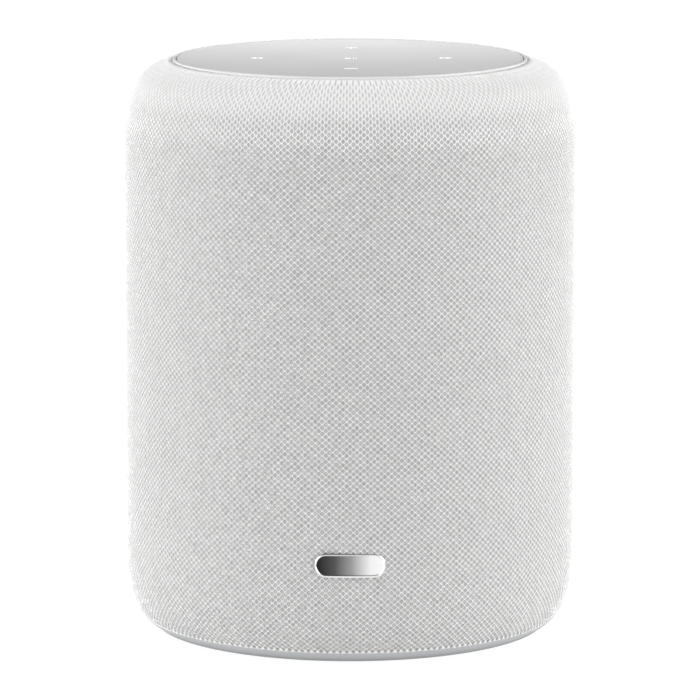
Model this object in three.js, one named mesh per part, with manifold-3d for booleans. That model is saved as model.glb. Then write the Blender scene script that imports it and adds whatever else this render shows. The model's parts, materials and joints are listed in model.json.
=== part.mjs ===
// A compact smart speaker: a round knit-covered body with soft shoulders, a touch panel on top,
// a sealed cabinet with one woofer and two tweeters inside, and a socket bay at the back.
//
// Units are millimetres. +Z is up, the front faces -Y, and the origin is the centre of the footprint.
// Speaker drivers are drawn on their own axis, with local z = 0 on the baffle's front face and
// local +z pointing forwards, and are then turned to face -Y.

import * as THREE from "three";
import { mergeVertices } from "three/addons/utils/BufferGeometryUtils.js";
import Module from "manifold-3d";

const wasm = await Module();
wasm.setup();

// ---------------------------------------------------------------- driving dimensions

const BODY_RADIUS = 73;
const TOP_HEIGHT = 185.5;
const TOUCHING_GAP = 0.3;

// Shoulder and foot are quarter superellipses between the straight wall and a flat apex.
const SHOULDER = { innerRadius: 46.2, start: 155.1, apex: 185.4, exponent: 3.14 };
const FOOT = { innerRadius: 56.9, start: 32.1, apex: 0.1, exponent: 2.876 };

const FABRIC_THICKNESS = 1.2;
const FABRIC_LOWER_EDGE = 3.8;
const BASKET_THICKNESS = 2;
const BASKET_LOWER_EDGE = 7.5;
const BASKET_OFFSET = FABRIC_THICKNESS + 0.6;

const RING_RADIUS = 57.2;
const RING_WIDTH = 1;
const PANEL_RADIUS = RING_RADIUS - RING_WIDTH - TOUCHING_GAP;
const PANEL_THICKNESS = 2;
const PANEL_EDGE_HEIGHT = TOP_HEIGHT - 0.15;
const PANEL_DISH = 0.25;
const FLANGE_TOP = 180.7;
const FLANGE_THICKNESS = 2.5;
const FLANGE_BORE = 48;
const FLANGE_SCREW_CIRCLE = 53;
const RING_LEDGE_RADIUS = 52;
const FACE_BEVEL = 0.25;
const RIM_BEVEL = 0.2;
const SOUND_SLOT = { width: 13, pairCount: 8, rows: [[46, 98], [104, 156]] };

const TOUCH_BOARD = { low: 178.9, high: 180.5, radius: FLANGE_BORE - 0.6 };
const TOUCH_MARK = { reach: 30.5, windowRadius: 3.5 };
const MICROPHONE = { reach: 36, halfLength: 2, halfWidth: 1.5, height: 1.1 };

const TRAY_FLOOR = 2.5;
const TRAY_THICKNESS = 2;
const TRAY_EDGE_HEIGHT = 0.5;
const TRAY_RECESS_RADIUS = 61.6;
const TRAY_EDGE_RADIUS = 63.4;
const TRAY_INNER_RADIUS = 63;
const TRAY_POSTS = corners(42, 31);
const TRAY_POST_RADIUS = 4.5;
const BOARD_POSTS = corners(30, 26);
const BOARD_POST_RADIUS = 3;
const PAD = { innerTop: 56.2, innerLow: 57.2, outerLow: 60.6, bevel: 0.6, thickness: 2.2 };

const CABINET_RADIUS = 66.5;
const CABINET_WALL = 3;
const CABINET_FLOOR = 24;
const CABINET_TOP = 166;
const BAFFLE_Y = -43;
const CABINET_BACK_Y = 46;

const WOOFER_HEIGHT = 76;
const WOOFER_HOLE = 46.2;
const TWEETER_HEIGHT = 146;
const TWEETER_OFFSET = 21;
const TWEETER_HOLE = 13.5;
const DOME = { radius: 10.2, rise: 3.4, skin: 0.5, base: -0.9, steps: 3 };
const WOOFER_SCREW_REACH = 48.8 / Math.SQRT2;

const POWER_BOARD = { halfX: 34, y0: -30, y1: 30, low: 9, high: 10.6 };
const MAIN_BOARD = { halfX: 38, low: 52, high: 150, y0: 49.5, y1: 51.1 };
const BOARD_SCREW_PLACES = [[-32, 60], [32, 140]];
const BOARD_STANDOFFS = [[-32, 60], [32, 60], [-32, 140], [32, 140]];
const STANDOFF_RADIUS = 3;
const HEAT_SINK = { halfWidth: 18, low: 98, high: 134, base: 2, finHeight: 9, finWidth: 1.6, finPitch: 4 };
const ANTENNA = { reach: 52, halfWidth: 4, halfLength: 16, thickness: 0.8 };

const FLANGE_SCREW = { headRadius: 2.6, headHeight: 1, shankRadius: 1.2, shankLength: 8 };
const BASE_SCREW = { headRadius: 2.8, headHeight: 1.2, shankRadius: 1.4, shankLength: 23.5 };
const WOOFER_SCREW = { headRadius: 2.1, headHeight: 1.2, shankRadius: 1.3, shankLength: 5.2 };
const BOARD_SCREW = { headRadius: 2.4, headHeight: 1.3, shankRadius: 1.2, shankLength: 5 };

const BAY = { halfWidth: 35.1, low: 18, high: 42, wallY: 48.5, wallThickness: 3, side: 2.2, centre: 30 };
const BAY_PROUD = 0.35;
const CUT_CLEARANCE = 0.3;
const CUT_REACH = 5;
const INLET = { x: -20.5, width: 21, height: 12.4, back: 46.6, front: 60.5 };
const INLET_CAVITY = { width: 15.6, height: 8.4, floor: 48.2, contactReach: 4.3, contactRadius: 1.2 };
const NETWORK_JACK = { x: 2.5, width: 15.6, height: 13.4, back: 46.6, front: 58 };
const NETWORK_CAVITY = { halfWidth: 5.9, drop: 5, height: 7.4, floor: 48.4 };
const NETWORK_LATCH = { halfWidth: 3, height: 2 };
const AUDIO_JACK = { x: 17.2, radius: 4, back: 48, front: 55.5, boreRadius: 1.8, boreFloor: 49.2 };
const BUTTON = { x: 27, radius: 3, back: 49.7, front: 55, bevel: 0.5, holeRadius: 3.35 };

const BADGE = { width: 22.4, height: 7.6, centre: 33.3, proud: 0.35 };

const BODY_SEGMENTS = 60;
const BASKET_SEGMENTS = 32;
const TRIM_SEGMENTS = 144;
const PART_SEGMENTS = 24;
const CURVE_SEGMENTS = 9;
const ROUND_SMALL_SEGMENTS = 20;
const DOME_SEGMENTS = 16;
const SMALL_SEGMENTS = 10;
const SCREW_SEGMENTS = 8;

// ---------------------------------------------------------------- materials

function material(color, roughness, metalness) {
  return new THREE.MeshStandardMaterial({ color, roughness, metalness });
}

const MATERIALS = {
  fabric: material(0xe2e2df, 0.95, 0),
  panel: material(0xdcdddf, 0.35, 0),
  ring: material(0xececee, 0.3, 0),
  base: material(0xa9abb0, 0.5, 0),
  darkPlastic: material(0x2b2c2f, 0.6, 0),
  palePlastic: material(0xc9cacc, 0.55, 0),
  rubber: material(0x3a3b3d, 0.9, 0),
  chrome: material(0xc8c9cc, 0.15, 1),
  steel: material(0x9a9c9f, 0.35, 1),
  ferrite: material(0x35363a, 0.75, 0.1),
  aluminium: material(0xb8babd, 0.4, 1),
  brass: material(0xb9975b, 0.35, 1),
  circuitBoard: material(0x1f5a3c, 0.6, 0),
  paper: material(0x3b3a38, 0.9, 0),
  silk: material(0xd6d3cb, 0.7, 0),
  copper: material(0xb06a3c, 0.4, 1),
  diffuser: material(0xf2f2f2, 0.6, 0),
};

// ---------------------------------------------------------------- geometry helpers

function signedArea(points) {
  return points.reduce((sum, point, index) => {
    const next = points[(index + 1) % points.length];
    return sum + (point[0] * next[1] - next[0] * point[1]) / 2;
  }, 0);
}

// A solid of revolution about Z from a closed outline of [radius, z] points.
function revolve(outline, segments = PART_SEGMENTS) {
  const ordered = signedArea(outline) > 0 ? outline : [...outline].reverse();
  const points = [...ordered, ordered[0]].map(([radius, z]) => new THREE.Vector2(radius, z));
  return new THREE.LatheGeometry(points, segments).rotateX(Math.PI / 2);
}

function block(x0, x1, y0, y1, z0, z1) {
  const geometry = new THREE.BoxGeometry(x1 - x0, y1 - y0, z1 - z0);
  return geometry.translate((x0 + x1) / 2, (y0 + y1) / 2, (z0 + z1) / 2);
}

function rodZ(x, y, z0, z1, radius, segments = SMALL_SEGMENTS) {
  const geometry = new THREE.CylinderGeometry(radius, radius, z1 - z0, segments);
  return geometry.rotateX(Math.PI / 2).translate(x, y, (z0 + z1) / 2);
}

function rodY(x, z, y0, y1, radius, segments = SMALL_SEGMENTS) {
  const geometry = new THREE.CylinderGeometry(radius, radius, y1 - y0, segments);
  return geometry.translate(x, (y0 + y1) / 2, z);
}

function extrudeZ(shape, z0, z1, curveSegments = CURVE_SEGMENTS) {
  const options = { depth: z1 - z0, bevelEnabled: false, curveSegments };
  return new THREE.ExtrudeGeometry(shape, options).translate(0, 0, z0);
}

// Extrudes a shape drawn in x and z along y.
function extrudeY(shape, y0, y1, curveSegments = CURVE_SEGMENTS) {
  return extrudeZ(shape, 0, y1 - y0, curveSegments).rotateX(Math.PI / 2).translate(0, y1, 0);
}

// A closed manifold body from a geometry, for cutting and joining.
function solid(geometry) {
  const bare = geometry.clone();
  bare.deleteAttribute("normal");
  bare.deleteAttribute("uv");
  const merged = mergeVertices(bare, 1e-4);
  const corners = merged.index.array;
  const kept = [];
  for (let i = 0; i < corners.length; i += 3) {
    const [a, b, c] = corners.subarray(i, i + 3);
    if (a !== b && b !== c && c !== a) kept.push(a, b, c);
  }
  const vertProperties = new Float32Array(merged.attributes.position.array);
  const mesh = new wasm.Mesh({ numProp: 3, vertProperties, triVerts: new Uint32Array(kept) });
  return new wasm.Manifold(mesh);
}

function geometryOf(manifold) {
  const mesh = manifold.getMesh();
  const geometry = new THREE.BufferGeometry();
  geometry.setAttribute("position", new THREE.BufferAttribute(new Float32Array(mesh.vertProperties), 3));
  geometry.setIndex(new THREE.BufferAttribute(new Uint32Array(mesh.triVerts), 1));
  geometry.computeVertexNormals();
  return geometry;
}

function cut(base, tools) {
  return geometryOf(tools.reduce((body, tool) => body.subtract(solid(tool)), solid(base)));
}

function join(base, additions) {
  return geometryOf(additions.reduce((body, extra) => body.add(solid(extra)), solid(base)));
}

function intersect(first, second) {
  return geometryOf(solid(first).intersect(solid(second)));
}

function piece(name, geometry, pieceMaterial) {
  const mesh = new THREE.Mesh(geometry, pieceMaterial);
  mesh.name = name;
  return mesh;
}

// The four corners of a rectangle, in the order right-front, left-front, left-back, right-back.
function corners(halfX, halfY) {
  return [[halfX, -halfY], [-halfX, -halfY], [-halfX, halfY], [halfX, halfY]];
}

function capsuleShape(centreX, centreY, width, height) {
  const radius = height / 2;
  const run = width / 2 - radius;
  const shape = new THREE.Shape();
  shape.absarc(centreX + run, centreY, radius, -Math.PI / 2, Math.PI / 2, false);
  shape.absarc(centreX - run, centreY, radius, Math.PI / 2, Math.PI * 1.5, false);
  shape.closePath();
  return shape;
}

// A pan-head screw: local z = 0 under the head, the shank pointing down, a round driver recess on top.
function screwPiece(name, { headRadius, headHeight, shankRadius, shankLength }) {
  const recessRadius = headRadius * 0.4;
  const recessDepth = headHeight * 0.45;
  const crownRadius = headRadius * 0.8;
  return piece(name, revolve([
    [0, -shankLength],
    [shankRadius, -shankLength],
    [shankRadius, 0],
    [headRadius, 0],
    [crownRadius, headHeight],
    [recessRadius, headHeight],
    [0, headHeight - recessDepth],
  ], SCREW_SEGMENTS), MATERIALS.steel);
}

function screwHoleRadius(screw) {
  return screw.shankRadius + TOUCHING_GAP;
}

// An upright hole for a screw's shank.
function screwHoleZ(screw, [x, y], z0, z1) {
  return rodZ(x, y, z0, z1, screwHoleRadius(screw), SCREW_SEGMENTS);
}

// A hole for a screw's shank through an upright wall.
function screwHoleY(screw, [x, z], y0, y1) {
  return rodY(x, z, y0, y1, screwHoleRadius(screw), SCREW_SEGMENTS);
}

// ---------------------------------------------------------------- the body's outline

// Points of one rounded corner, from the straight wall to the end angle, moved inwards by an offset.
function cornerPoints(corner, offset, endAngle, count) {
  const towards = Math.sign(corner.apex - corner.start);
  const width = BODY_RADIUS - offset - corner.innerRadius;
  const height = corner.apex - towards * offset - corner.start;
  const power = 2 / corner.exponent;
  const points = [];
  for (let i = 0; i <= count; i += 1) {
    const angle = (endAngle * i) / count;
    const radius = corner.innerRadius + width * Math.cos(angle) ** power;
    points.push([radius, corner.start + height * Math.sin(angle) ** power]);
  }
  return points;
}

function angleAtHeight(corner, offset, z) {
  const towards = Math.sign(corner.apex - corner.start);
  const share = (z - corner.start) / (corner.apex - towards * offset - corner.start);
  return Math.asin(share ** (corner.exponent / 2));
}

function angleAtRadius(corner, offset, radius) {
  const share = (radius - corner.innerRadius) / (BODY_RADIUS - offset - corner.innerRadius);
  return Math.acos(share ** (corner.exponent / 2));
}

function radiusAtHeight(corner, offset, z) {
  return cornerPoints(corner, offset, angleAtHeight(corner, offset, z), 1)[1][0];
}

// The body's side from its lower edge up to its upper edge, moved inwards by an offset.
function sidePoints(offset, lowEdge, topAngle, footCount, shoulderCount) {
  const foot = cornerPoints(FOOT, offset, angleAtHeight(FOOT, offset, lowEdge), footCount);
  return [...foot.reverse(), ...cornerPoints(SHOULDER, offset, topAngle, shoulderCount)];
}

// ---------------------------------------------------------------- cut-outs shared by the skins

function bayCutter() {
  const side = BAY.halfWidth + CUT_CLEARANCE;
  const low = BAY.low - CUT_CLEARANCE;
  const high = BAY.high + CUT_CLEARANCE;
  return block(-side, side, CABINET_BACK_Y, BODY_RADIUS + CUT_REACH, low, high);
}

function badgeCutter() {
  const width = BADGE.width + 2 * CUT_CLEARANCE;
  const height = BADGE.height + 2 * CUT_CLEARANCE;
  const outline = capsuleShape(0, BADGE.centre, width, height);
  return extrudeY(outline, -BODY_RADIUS - CUT_REACH, -BODY_RADIUS + CUT_REACH);
}

// ---------------------------------------------------------------- outer skin and touch top

function fabricSleeve() {
  const edgeRadius = RING_RADIUS + TOUCHING_GAP;
  const outer = sidePoints(0, FABRIC_LOWER_EDGE, angleAtRadius(SHOULDER, 0, edgeRadius), 5, 6);
  const innerAngle = angleAtRadius(SHOULDER, FABRIC_THICKNESS, edgeRadius);
  const inner = sidePoints(FABRIC_THICKNESS, FABRIC_LOWER_EDGE, innerAngle, 3, 4);
  const shell = revolve([...outer, ...inner.reverse()], BODY_SEGMENTS);
  return piece("fabric_sleeve", cut(shell, [bayCutter(), badgeCutter()]), MATERIALS.fabric);
}

// The rigid perforated shell that the knit is stretched over, with a flange that carries the top ring.
function grilleBasket() {
  const innerOffset = BASKET_OFFSET + BASKET_THICKNESS;
  const rimRadius = RING_RADIUS + TOUCHING_GAP + 0.5;
  const flangeBottom = FLANGE_TOP - FLANGE_THICKNESS;
  const outerTop = angleAtRadius(SHOULDER, BASKET_OFFSET, rimRadius);
  const outer = sidePoints(BASKET_OFFSET, BASKET_LOWER_EDGE, outerTop, 3, 4);
  const innerTop = angleAtHeight(SHOULDER, innerOffset, flangeBottom);
  const inner = sidePoints(innerOffset, BASKET_LOWER_EDGE, innerTop, 2, 2);
  const rimTop = outer[outer.length - 1][1];
  const flange = [
    [RING_RADIUS + TOUCHING_GAP, rimTop],
    [RING_RADIUS + TOUCHING_GAP, FLANGE_TOP],
    [FLANGE_BORE, FLANGE_TOP],
    [FLANGE_BORE, flangeBottom],
  ];
  const shell = revolve([...outer, ...flange, ...inner.reverse()], BASKET_SEGMENTS);
  const tools = [bayCutter(), ...soundSlots(), ...flangeScrewHoles(flangeBottom)];
  return piece("grille_basket", cut(shell, tools), MATERIALS.palePlastic);
}

// Upright sound slots in two rows. Each bar runs right across, so it cuts two opposite slots.
function soundSlots() {
  const { width, pairCount, rows } = SOUND_SLOT;
  const bars = [];
  for (const [low, high] of rows) {
    for (let i = 0; i < pairCount; i += 1) {
      const bar = block(-BODY_RADIUS, BODY_RADIUS, -width / 2, width / 2, low, high);
      bars.push(bar.rotateZ((Math.PI * (i + 0.5)) / pairCount));
    }
  }
  return bars;
}

function flangeScrewPlaces() {
  const reach = FLANGE_SCREW_CIRCLE / Math.SQRT2;
  return corners(reach, reach);
}

function flangeScrewHoles(flangeBottom) {
  const seat = FLANGE_TOP - FLANGE_SCREW.headHeight - 2 * TOUCHING_GAP;
  const headHole = FLANGE_SCREW.headRadius + TOUCHING_GAP;
  return flangeScrewPlaces().flatMap(([x, y]) => [
    rodZ(x, y, seat, FLANGE_TOP + 1, headHole, SCREW_SEGMENTS),
    screwHoleZ(FLANGE_SCREW, [x, y], flangeBottom - 1, seat + 1),
  ]);
}

function flangeScrews() {
  return flangeScrewPlaces().map(([x, y], index) => {
    const screw = screwPiece(`grille_screw_${index + 1}`, FLANGE_SCREW);
    screw.position.set(x, y, FLANGE_TOP - FLANGE_SCREW.headHeight - TOUCHING_GAP);
    return screw;
  });
}

// The thin bright ring round the touch panel, with an inner ledge that the panel sits on.
function topRing() {
  const inner = RING_RADIUS - RING_WIDTH;
  const ledgeTop = PANEL_EDGE_HEIGHT - PANEL_THICKNESS - TOUCHING_GAP;
  const ledgeBottom = FLANGE_TOP + TOUCHING_GAP;
  return piece("top_ring", revolve([
    [RING_LEDGE_RADIUS, ledgeBottom],
    [RING_RADIUS, ledgeBottom],
    [RING_RADIUS, TOP_HEIGHT - FACE_BEVEL],
    [RING_RADIUS - FACE_BEVEL, TOP_HEIGHT],
    [inner + RIM_BEVEL, TOP_HEIGHT],
    [inner, TOP_HEIGHT - RIM_BEVEL],
    [inner, ledgeTop],
    [RING_LEDGE_RADIUS, ledgeTop],
  ], BODY_SEGMENTS), MATERIALS.ring);
}

// The touch panel: a disc whose upper face is a very shallow dish.
function touchPanel() {
  const bottom = PANEL_EDGE_HEIGHT - PANEL_THICKNESS;
  const steps = 2;
  const dish = [];
  for (let i = 0; i < steps; i += 1) {
    const share = 1 - i / steps;
    const sag = PANEL_DISH * (1 - share * share);
    dish.push([(PANEL_RADIUS - RIM_BEVEL) * share, PANEL_EDGE_HEIGHT - sag]);
  }
  return piece("touch_panel", revolve([
    [0, bottom],
    [PANEL_RADIUS, bottom],
    [PANEL_RADIUS, PANEL_EDGE_HEIGHT - RIM_BEVEL],
    ...dish,
    [0, PANEL_EDGE_HEIGHT - PANEL_DISH],
  ], BODY_SEGMENTS), MATERIALS.panel);
}

// The clear disc that carries light to the touch marks, with a window under each mark.
function lightGuide() {
  const low = TOUCH_BOARD.high + TOUCHING_GAP;
  const high = PANEL_EDGE_HEIGHT - PANEL_THICKNESS - TOUCHING_GAP;
  const disc = rodZ(0, 0, low, high, TOUCH_BOARD.radius, PART_SEGMENTS);
  const windows = markPlaces().map(([x, y]) => rodZ(x, y, low - 1, high + 1, TOUCH_MARK.windowRadius));
  return piece("light_guide", cut(disc, windows), MATERIALS.diffuser);
}

// Where the five touch marks stand: the centre and four points round it.
function markPlaces() {
  const { reach } = TOUCH_MARK;
  return [[0, 0], [reach, 0], [-reach, 0], [0, reach], [0, -reach]];
}

function touchBoard() {
  const disc = rodZ(0, 0, TOUCH_BOARD.low, TOUCH_BOARD.high, TOUCH_BOARD.radius, PART_SEGMENTS);
  return piece("touch_board", disc, MATERIALS.circuitBoard);
}

function microphones() {
  const { reach, halfLength, halfWidth, height } = MICROPHONE;
  const top = TOUCH_BOARD.low - TOUCHING_GAP;
  return [-1, 1].map((side, index) => {
    const x = side * reach;
    const can = block(x - halfLength, x + halfLength, -halfWidth, halfWidth, top - height, top);
    return piece(`microphone_${index + 1}`, can, MATERIALS.aluminium);
  });
}

// ---------------------------------------------------------------- base

// The grey base: a tray whose rim shows under the knit's lower edge and holds the basket above it.
function baseTray() {
  const rimTop = BASKET_LOWER_EDGE - TOUCHING_GAP;
  const floorTop = TRAY_FLOOR + TRAY_THICKNESS;
  const ledge = FABRIC_LOWER_EDGE - TOUCHING_GAP;
  const edgeLow = 1.1;
  const curve = cornerPoints(FOOT, 0, angleAtHeight(FOOT, 0, edgeLow), 16);
  const edge = curve.filter(([, z]) => z < ledge - TOUCHING_GAP).reverse();
  const rimLowRadius = radiusAtHeight(FOOT, BASKET_OFFSET, FABRIC_LOWER_EDGE);
  const rimHighRadius = radiusAtHeight(FOOT, BASKET_OFFSET, rimTop);
  const tray = revolve([
    [0, TRAY_FLOOR],
    [TRAY_RECESS_RADIUS, TRAY_FLOOR],
    [TRAY_RECESS_RADIUS, TRAY_EDGE_HEIGHT],
    [TRAY_EDGE_RADIUS, TRAY_EDGE_HEIGHT],
    ...edge,
    [radiusAtHeight(FOOT, 0, ledge), ledge],
    [rimLowRadius - TOUCHING_GAP, ledge],
    [rimLowRadius, FABRIC_LOWER_EDGE],
    [rimHighRadius, rimTop],
    [rimHighRadius - TRAY_THICKNESS, rimTop],
    [TRAY_INNER_RADIUS, floorTop],
    [0, floorTop],
  ], BODY_SEGMENTS);
  const cabinetPosts = TRAY_POSTS.map(([x, y]) => (
    rodZ(x, y, floorTop - 1, CABINET_FLOOR - TOUCHING_GAP, TRAY_POST_RADIUS)
  ));
  const boardPosts = BOARD_POSTS.map(([x, y]) => (
    rodZ(x, y, floorTop - 1, POWER_BOARD.low - TOUCHING_GAP, BOARD_POST_RADIUS)
  ));
  const holes = TRAY_POSTS.map((place) => screwHoleZ(BASE_SCREW, place, 0, CABINET_FLOOR + 1));
  return piece("base_tray", cut(join(tray, [...cabinetPosts, ...boardPosts]), holes), MATERIALS.base);
}

function footPad() {
  const outer = TRAY_RECESS_RADIUS - TOUCHING_GAP;
  return piece("foot_pad", revolve([
    [PAD.innerLow, 0],
    [PAD.outerLow, 0],
    [outer, PAD.bevel],
    [outer, PAD.thickness],
    [PAD.innerTop, PAD.thickness],
  ], BODY_SEGMENTS), MATERIALS.rubber);
}

function baseScrews() {
  return TRAY_POSTS.map(([x, y], index) => {
    const screw = screwPiece(`base_screw_${index + 1}`, BASE_SCREW);
    screw.rotation.x = Math.PI;
    screw.position.set(x, y, TRAY_FLOOR - TOUCHING_GAP);
    return screw;
  });
}

// ---------------------------------------------------------------- power supply

function powerBoard() {
  const { halfX, y0, y1, low, high } = POWER_BOARD;
  const board = block(-halfX, halfX, y0, y1, low, high);
  return piece("power_board", board, MATERIALS.circuitBoard);
}

function transformer() {
  const low = POWER_BOARD.high + TOUCHING_GAP;
  const core = block(6, 30, -14, 8, low + 3, low + 8);
  const winding = block(10, 26, -11, 5, low, low + 11);
  return piece("transformer", join(core, [winding]), MATERIALS.ferrite);
}

function bulkCapacitor() {
  const radius = 5.2;
  const halfLength = 13;
  const groove = { centre: 9.8, halfWidth: 0.8, depth: 0.6 };
  const can = revolve([
    [0, -halfLength],
    [radius, -halfLength],
    [radius, groove.centre - groove.halfWidth],
    [radius - groove.depth, groove.centre],
    [radius, groove.centre + groove.halfWidth],
    [radius, halfLength],
    [0, halfLength],
  ], SMALL_SEGMENTS);
  const made = piece("bulk_capacitor", can, MATERIALS.darkPlastic);
  made.rotation.y = Math.PI / 2;
  made.position.set(-12, -14, POWER_BOARD.high + TOUCHING_GAP + radius);
  return made;
}

// A strip or wire of one section along a smooth route of points.
function alongRoute(section, points, curveSegments) {
  const extrudePath = new THREE.CatmullRomCurve3(points.map((point) => new THREE.Vector3(...point)));
  const options = { extrudePath, steps: 14, curveSegments, bevelEnabled: false };
  return new THREE.ExtrudeGeometry(section, options);
}

// The wire from the mains inlet down to the power board.
function mainsLead() {
  const { x } = INLET;
  const route = [
    [x, 47.25, 23.2],
    [x, 47.25, 18],
    [x, 44, 14],
    [x, 34, 13.5],
    [x, 28, 13.2],
    [x, 25.5, 11.8],
  ];
  const section = new THREE.Shape();
  section.absarc(0, 0, 0.8, 0, Math.PI * 2, false);
  return piece("mains_lead", alongRoute(section, route, 4), MATERIALS.darkPlastic);
}

// ---------------------------------------------------------------- sealed cabinet

// A circle cut flat at the front for the baffle and at the back for the circuit board.
function cabinetOutline(inset) {
  const radius = CABINET_RADIUS - inset;
  const front = Math.asin((BAFFLE_Y + inset) / radius);
  const back = Math.asin((CABINET_BACK_Y - inset) / radius);
  const shape = new THREE.Shape();
  shape.absarc(0, 0, radius, front, back, false);
  shape.absarc(0, 0, radius, Math.PI - back, Math.PI - front, false);
  shape.closePath();
  return shape;
}

function cabinet() {
  const shell = extrudeZ(cabinetOutline(0), CABINET_FLOOR, CABINET_TOP);
  const hollow = extrudeZ(cabinetOutline(CABINET_WALL), CABINET_FLOOR + CABINET_WALL, CABINET_TOP + 1);
  const baffleFront = BAFFLE_Y - 1;
  const baffleBack = BAFFLE_Y + CABINET_WALL + 1;
  const boardFace = MAIN_BOARD.y0 - TOUCHING_GAP;
  const blindFloor = CABINET_FLOOR + 2.2;
  const screwFloor = CABINET_BACK_Y - 1.5;
  const standoffs = BOARD_STANDOFFS.map(([x, z]) => (
    rodY(x, z, CABINET_BACK_Y - 1, boardFace, STANDOFF_RADIUS)
  ));
  const tweeterHoles = [-1, 1].map((side) => (
    rodY(side * TWEETER_OFFSET, TWEETER_HEIGHT, baffleFront, baffleBack, TWEETER_HOLE, PART_SEGMENTS)
  ));
  const holes = [
    rodY(0, WOOFER_HEIGHT, baffleFront, baffleBack, WOOFER_HOLE, PART_SEGMENTS),
    ...tweeterHoles,
    ...wooferScrewPlaces().map((place) => screwHoleY(WOOFER_SCREW, place, baffleFront, baffleBack)),
    ...TRAY_POSTS.map((place) => screwHoleZ(BASE_SCREW, place, CABINET_FLOOR - 1, blindFloor)),
    ...BOARD_SCREW_PLACES.map((place) => screwHoleY(BOARD_SCREW, place, screwFloor, boardFace + 1)),
  ];
  return piece("cabinet", cut(join(cut(shell, [hollow]), standoffs), holes), MATERIALS.darkPlastic);
}

// The cabinet's lid, with a boss under each of the basket's flange screws.
function cabinetLid() {
  const low = CABINET_TOP + TOUCHING_GAP;
  const high = low + CABINET_WALL;
  const plate = extrudeZ(cabinetOutline(0), low, high);
  const bossTop = FLANGE_TOP - FLANGE_THICKNESS - TOUCHING_GAP;
  const bossRadius = 3.6;
  const bosses = flangeScrewPlaces().map(([x, y]) => rodZ(x, y, high - 1, bossTop, bossRadius));
  const holes = flangeScrewPlaces().map((place) => screwHoleZ(FLANGE_SCREW, place, high + 1, bossTop + 1));
  return piece("cabinet_lid", cut(join(plate, bosses), holes), MATERIALS.darkPlastic);
}

// ---------------------------------------------------------------- woofer

function wooferScrewCorners() {
  return corners(WOOFER_SCREW_REACH, WOOFER_SCREW_REACH);
}

function wooferScrewPlaces() {
  return wooferScrewCorners().map(([x, z]) => [x, WOOFER_HEIGHT + z]);
}

// The stamped frame: a flange, a ribbed cone-shaped body with six windows, and a back ring.
function wooferFrame() {
  const body = revolve([
    [51, TOUCHING_GAP],
    [51, 2.1],
    [50.6, 2.5],
    [43.5, 2.5],
    [43.5, -3.2],
    [22.5, -20.5],
    [22.5, -24],
    [13.6, -24],
    [13.6, -26],
    [24.5, -26],
    [24.5, -21.5],
    [45.6, -4.2],
    [45.6, TOUCHING_GAP],
  ], PART_SEGMENTS);
  const windowCount = 6;
  const windows = [];
  for (let i = 0; i < windowCount; i += 1) {
    const opening = block(27, 41.5, -8, 8, -22, -3.6);
    windows.push(opening.rotateZ((2 * Math.PI * i) / windowCount));
  }
  const screwHoles = wooferScrewCorners().map((place) => screwHoleZ(WOOFER_SCREW, place, -1, 4));
  return piece("woofer_frame", cut(body, [...windows, ...screwHoles]), MATERIALS.steel);
}

// A half-roll surround: a bowed strip between the cone's edge and the frame.
function wooferSurround() {
  const rollCentre = 39.35;
  const rollRadius = 3;
  const thickness = 0.7;
  const steps = 4;
  const upper = [];
  const lower = [];
  for (let i = 0; i <= steps; i += 1) {
    const angle = (Math.PI * i) / steps;
    const along = -Math.cos(angle);
    const rise = Math.sin(angle);
    upper.push([rollCentre + along * rollRadius, thickness + rise * rollRadius]);
    lower.push([rollCentre + along * (rollRadius - thickness), rise * (rollRadius - thickness)]);
  }
  const lipIn = [[35.5, 0], [35.5, thickness]];
  const lipOut = [[43.2, thickness], [43.2, 0]];
  const outline = [...lipIn, ...upper, ...lipOut, ...lower.reverse()];
  return piece("woofer_surround", revolve(outline), MATERIALS.rubber);
}

function wooferCone() {
  return piece("woofer_cone", revolve([
    [12.9, -12.4],
    [24, -7],
    [35.2, -0.2],
    [35.2, 0.8],
    [24, -6],
    [12.9, -11.4],
  ]), MATERIALS.paper);
}

function wooferDustCap() {
  return piece("woofer_dust_cap", revolve([
    [0, -8.8],
    [7, -9.9],
    [12.4, -12.8],
    [12.4, -12],
    [7, -9.1],
    [0, -8],
  ], ROUND_SMALL_SEGMENTS), MATERIALS.paper);
}

function wooferVoiceCoil() {
  return piece("woofer_voice_coil", revolve([
    [12, -31],
    [12.6, -31],
    [12.6, -13.3],
    [12, -13.3],
  ], ROUND_SMALL_SEGMENTS), MATERIALS.copper);
}

// The corrugated centring disc behind the cone.
function wooferSpider() {
  const inner = 12.9;
  const outer = 22.9;
  const thickness = 0.5;
  const waves = 2;
  const steps = waves * 3;
  const top = [];
  for (let i = 0; i <= steps; i += 1) {
    const share = i / steps;
    const wave = Math.sin(share * waves * 2 * Math.PI) * 0.7;
    top.push([inner + (outer - inner) * share, -18.6 + wave]);
  }
  const bottom = top.map(([radius, z]) => [radius, z - thickness]).reverse();
  return piece("woofer_spider", revolve([...top, ...bottom]), MATERIALS.silk);
}

function wooferTopPlate() {
  return piece("woofer_top_plate", revolve([
    [13.3, -30.3],
    [30, -30.3],
    [30, -26.3],
    [13.3, -26.3],
  ]), MATERIALS.steel);
}

function wooferMagnet() {
  return piece("woofer_magnet", revolve([
    [16, -43],
    [34, -43],
    [34, -30.6],
    [16, -30.6],
  ]), MATERIALS.ferrite);
}

function wooferBackPlate() {
  return piece("woofer_back_plate", revolve([
    [0, -47.5],
    [30, -47.5],
    [31, -46.5],
    [31, -43.3],
    [11.3, -43.3],
    [11.3, -26.5],
    [0, -26.5],
  ]), MATERIALS.steel);
}

function wooferScrews() {
  const flangeFace = 2.5;
  return wooferScrewCorners().map(([x, y], index) => {
    const screw = screwPiece(`woofer_screw_${index + 1}`, WOOFER_SCREW);
    screw.position.set(x, y, flangeFace + TOUCHING_GAP);
    return screw;
  });
}

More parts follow.
